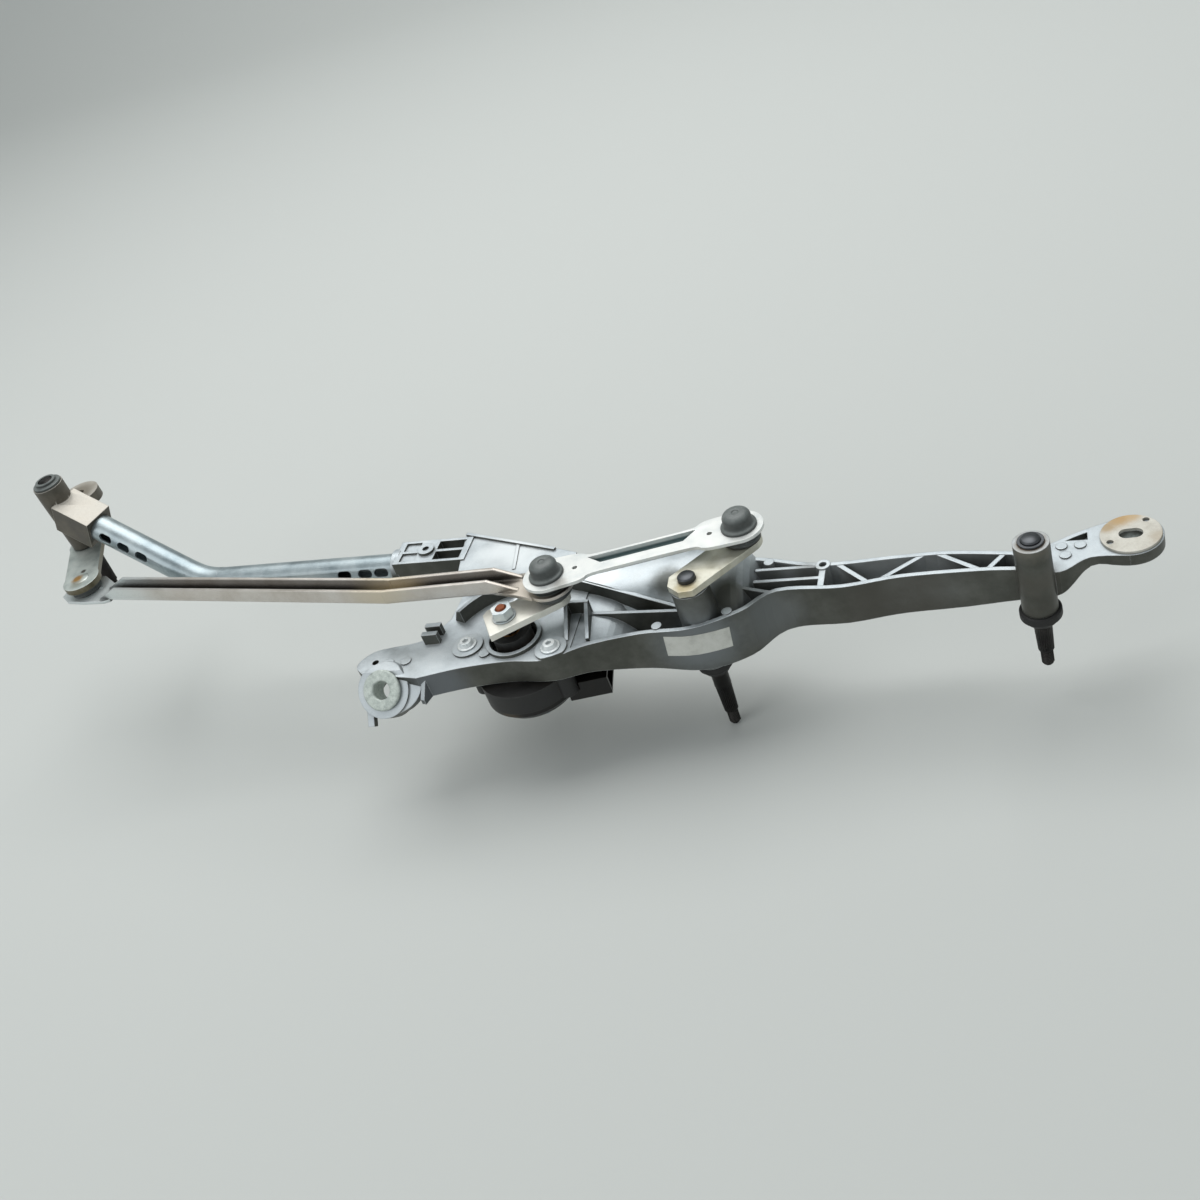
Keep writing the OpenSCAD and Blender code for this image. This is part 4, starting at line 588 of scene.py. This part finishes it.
for node, mount in studs.items():
    x, y, seatZ = placeOf[mount]
    bm = mergedCopy(node)
    cutAway(bm, plane_co=(0, 0, (seatZ - thread["overlap"]) * mm), plane_no=upZ, clear_inner=True)
    turned(bm, shank, (x, y, seatZ))
    section = drawProfile(bm, ridge, (x, y, seatZ + end + thread["start"]))
    bmesh.ops.spin(bm, geom=section, cent=(x * mm, y * mm, 0), axis=upZ, angle=2 * math.pi * thread["turns"],
                   dvec=(0, 0, thread["pitch"] * mm / thread["stepsPerTurn"]),
                   steps=int(thread["turns"] * thread["stepsPerTurn"]))
    bmesh.ops.recalc_face_normals(bm, faces=bm.faces)
    standFor(node, node + "Threaded", shadedMesh(bm, node + "Threaded", thread["sharpDeg"]))
print("threads cut:", len(studs))

# Label on the front wall, left blank: corners (x, z) as seen from the front, in mm
label = {
    "corners": [(-22.5, 85.9), (20.4, 81.7), (19.1, 65.4), (-23.9, 68.7)], "thickMm": 0.25,
    "frontTilt": -0.5, "backY": -5, "bossR": 14.5,  # the wall alone, without the ribs and the boss behind it
}
bm = mergedCopy("frame_casting")
bm.normal_update()
away = [f for f in bm.faces if f.normal.y > label["frontTilt"]
        or f.calc_center_median().y > label["backY"] * mm
        or f.calc_center_median().xy.length < label["bossR"] * mm]
bmesh.ops.delete(bm, geom=away, context="FACES")
nextCorners = label["corners"][1:] + label["corners"][:1]
for (ax, az), (bx, bz) in zip(label["corners"], nextCorners):
    cutAway(bm, plane_co=(ax * mm, 0, az * mm), plane_no=Vector((az - bz, 0, bx - ax)).normalized(),
            clear_outer=True)
shiftGrown(bm, bmesh.ops.extrude_face_region(bm, geom=bm.faces[:]), (0, -label["thickMm"] * mm, 0))
bmesh.ops.recalc_face_normals(bm, faces=bm.faces)
finishPiece("blankLabel", shadedMesh(bm, "blankLabel"), finishes["label"], bodyOf["frame_casting"])
print("label set")

# Camera at the photograph's view, worked out from the spindle axes, in metres
view = {
    "place": (0.2593, -0.6681, 0.6482), "ahead": (-0.352, 0.728, -0.588), "up": (0.097, 0.653, 0.751),
    "lensMm": 41.1, "sensorMm": 36, "clipEnd": 50,
}
ahead = Vector(view["ahead"]).normalized()
side = ahead.cross(Vector(view["up"])).normalized()
over = side.cross(ahead)
camera = addObject("camera", bpy.data.cameras.new("camera"))
camera.matrix_world = Matrix.Translation(view["place"]) @ Matrix((side, over, -ahead)).transposed().to_4x4()
camera.data.lens = view["lensMm"]
camera.data.sensor_width = view["sensorMm"]
camera.data.sensor_fit = "HORIZONTAL"
camera.data.clip_end = view["clipEnd"]
bpy.context.scene.camera = camera

# Pale floor under the arm studs, turning up into a backdrop, in metres
room = {"floor": -0.0145, "back": 3.4, "size": 14, "curve": 1.2, "tone": "#c6c9c6", "roughness": 0.85}
bm = bmesh.new()
outline = [(-room["size"], room["floor"]), (room["back"], room["floor"]), (room["back"], room["size"])]
corners = [bm.verts.new((-room["size"], y, z)) for y, z in outline]
for pair in zip(corners, corners[1:]):
    bm.edges.new(pair)
bmesh.ops.bevel(bm, geom=[corners[1]], offset=room["curve"], offset_type="OFFSET", segments=16, profile=0.5,
                affect="VERTICES", material=-1)
shiftGrown(bm, bmesh.ops.extrude_edge_only(bm, edges=bm.edges[:]), (2 * room["size"], 0, 0))
bmesh.ops.recalc_face_normals(bm, faces=bm.faces)
floorMesh = bpy.data.meshes.new("floor")
bm.to_mesh(floorMesh)
bm.free()
floorMesh.polygons.foreach_set("use_smooth", [True] * len(floorMesh.polygons))
floor = addObject("floor", floorMesh)
paint = bpy.data.materials.new("paleFloorPaint")  # matt paint, plain
paint.use_nodes = True
paintShader = paint.node_tree.nodes["Principled BSDF"]
paintShader.inputs["Base Color"].default_value = linear(room["tone"])
paintShader.inputs["Roughness"].default_value = room["roughness"]
floorMesh.materials.append(paint)

# Plain soft light: one wide lamp overhead, one from the front left, and an even sky
lamps = [
    {"name": "overhead", "place": (-0.35, 1.05, 2.45), "aim": (-0.1, 0.05, 0.1), "sizeM": 2.4, "watts": 55},
    {"name": "frontLeft", "place": (-1.8, -1.6, 1.6), "aim": (-0.1, 0.05, 0.1), "sizeM": 1.6, "watts": 12},
]
for lamp in lamps:
    data = bpy.data.lights.new(lamp["name"], "AREA")
    data.size = lamp["sizeM"]
    data.energy = lamp["watts"]
    aim = Vector(lamp["aim"]) - Vector(lamp["place"])
    turn = aim.to_track_quat("-Z", "Y").to_matrix().to_4x4()
    addObject(lamp["name"], data).matrix_world = Matrix.Translation(lamp["place"]) @ turn
sky = {"tone": "#e9eef0", "strength": 0.6}
world = bpy.data.worlds.new("evenSky")
bpy.context.scene.world = world
world.use_nodes = True
background = world.node_tree.nodes["Background"]
background.inputs["Color"].default_value = linear(sky["tone"])
background.inputs["Strength"].default_value = sky["strength"]
bpy.context.scene.view_settings.view_transform = "Standard"
print("camera, floor and lights set")
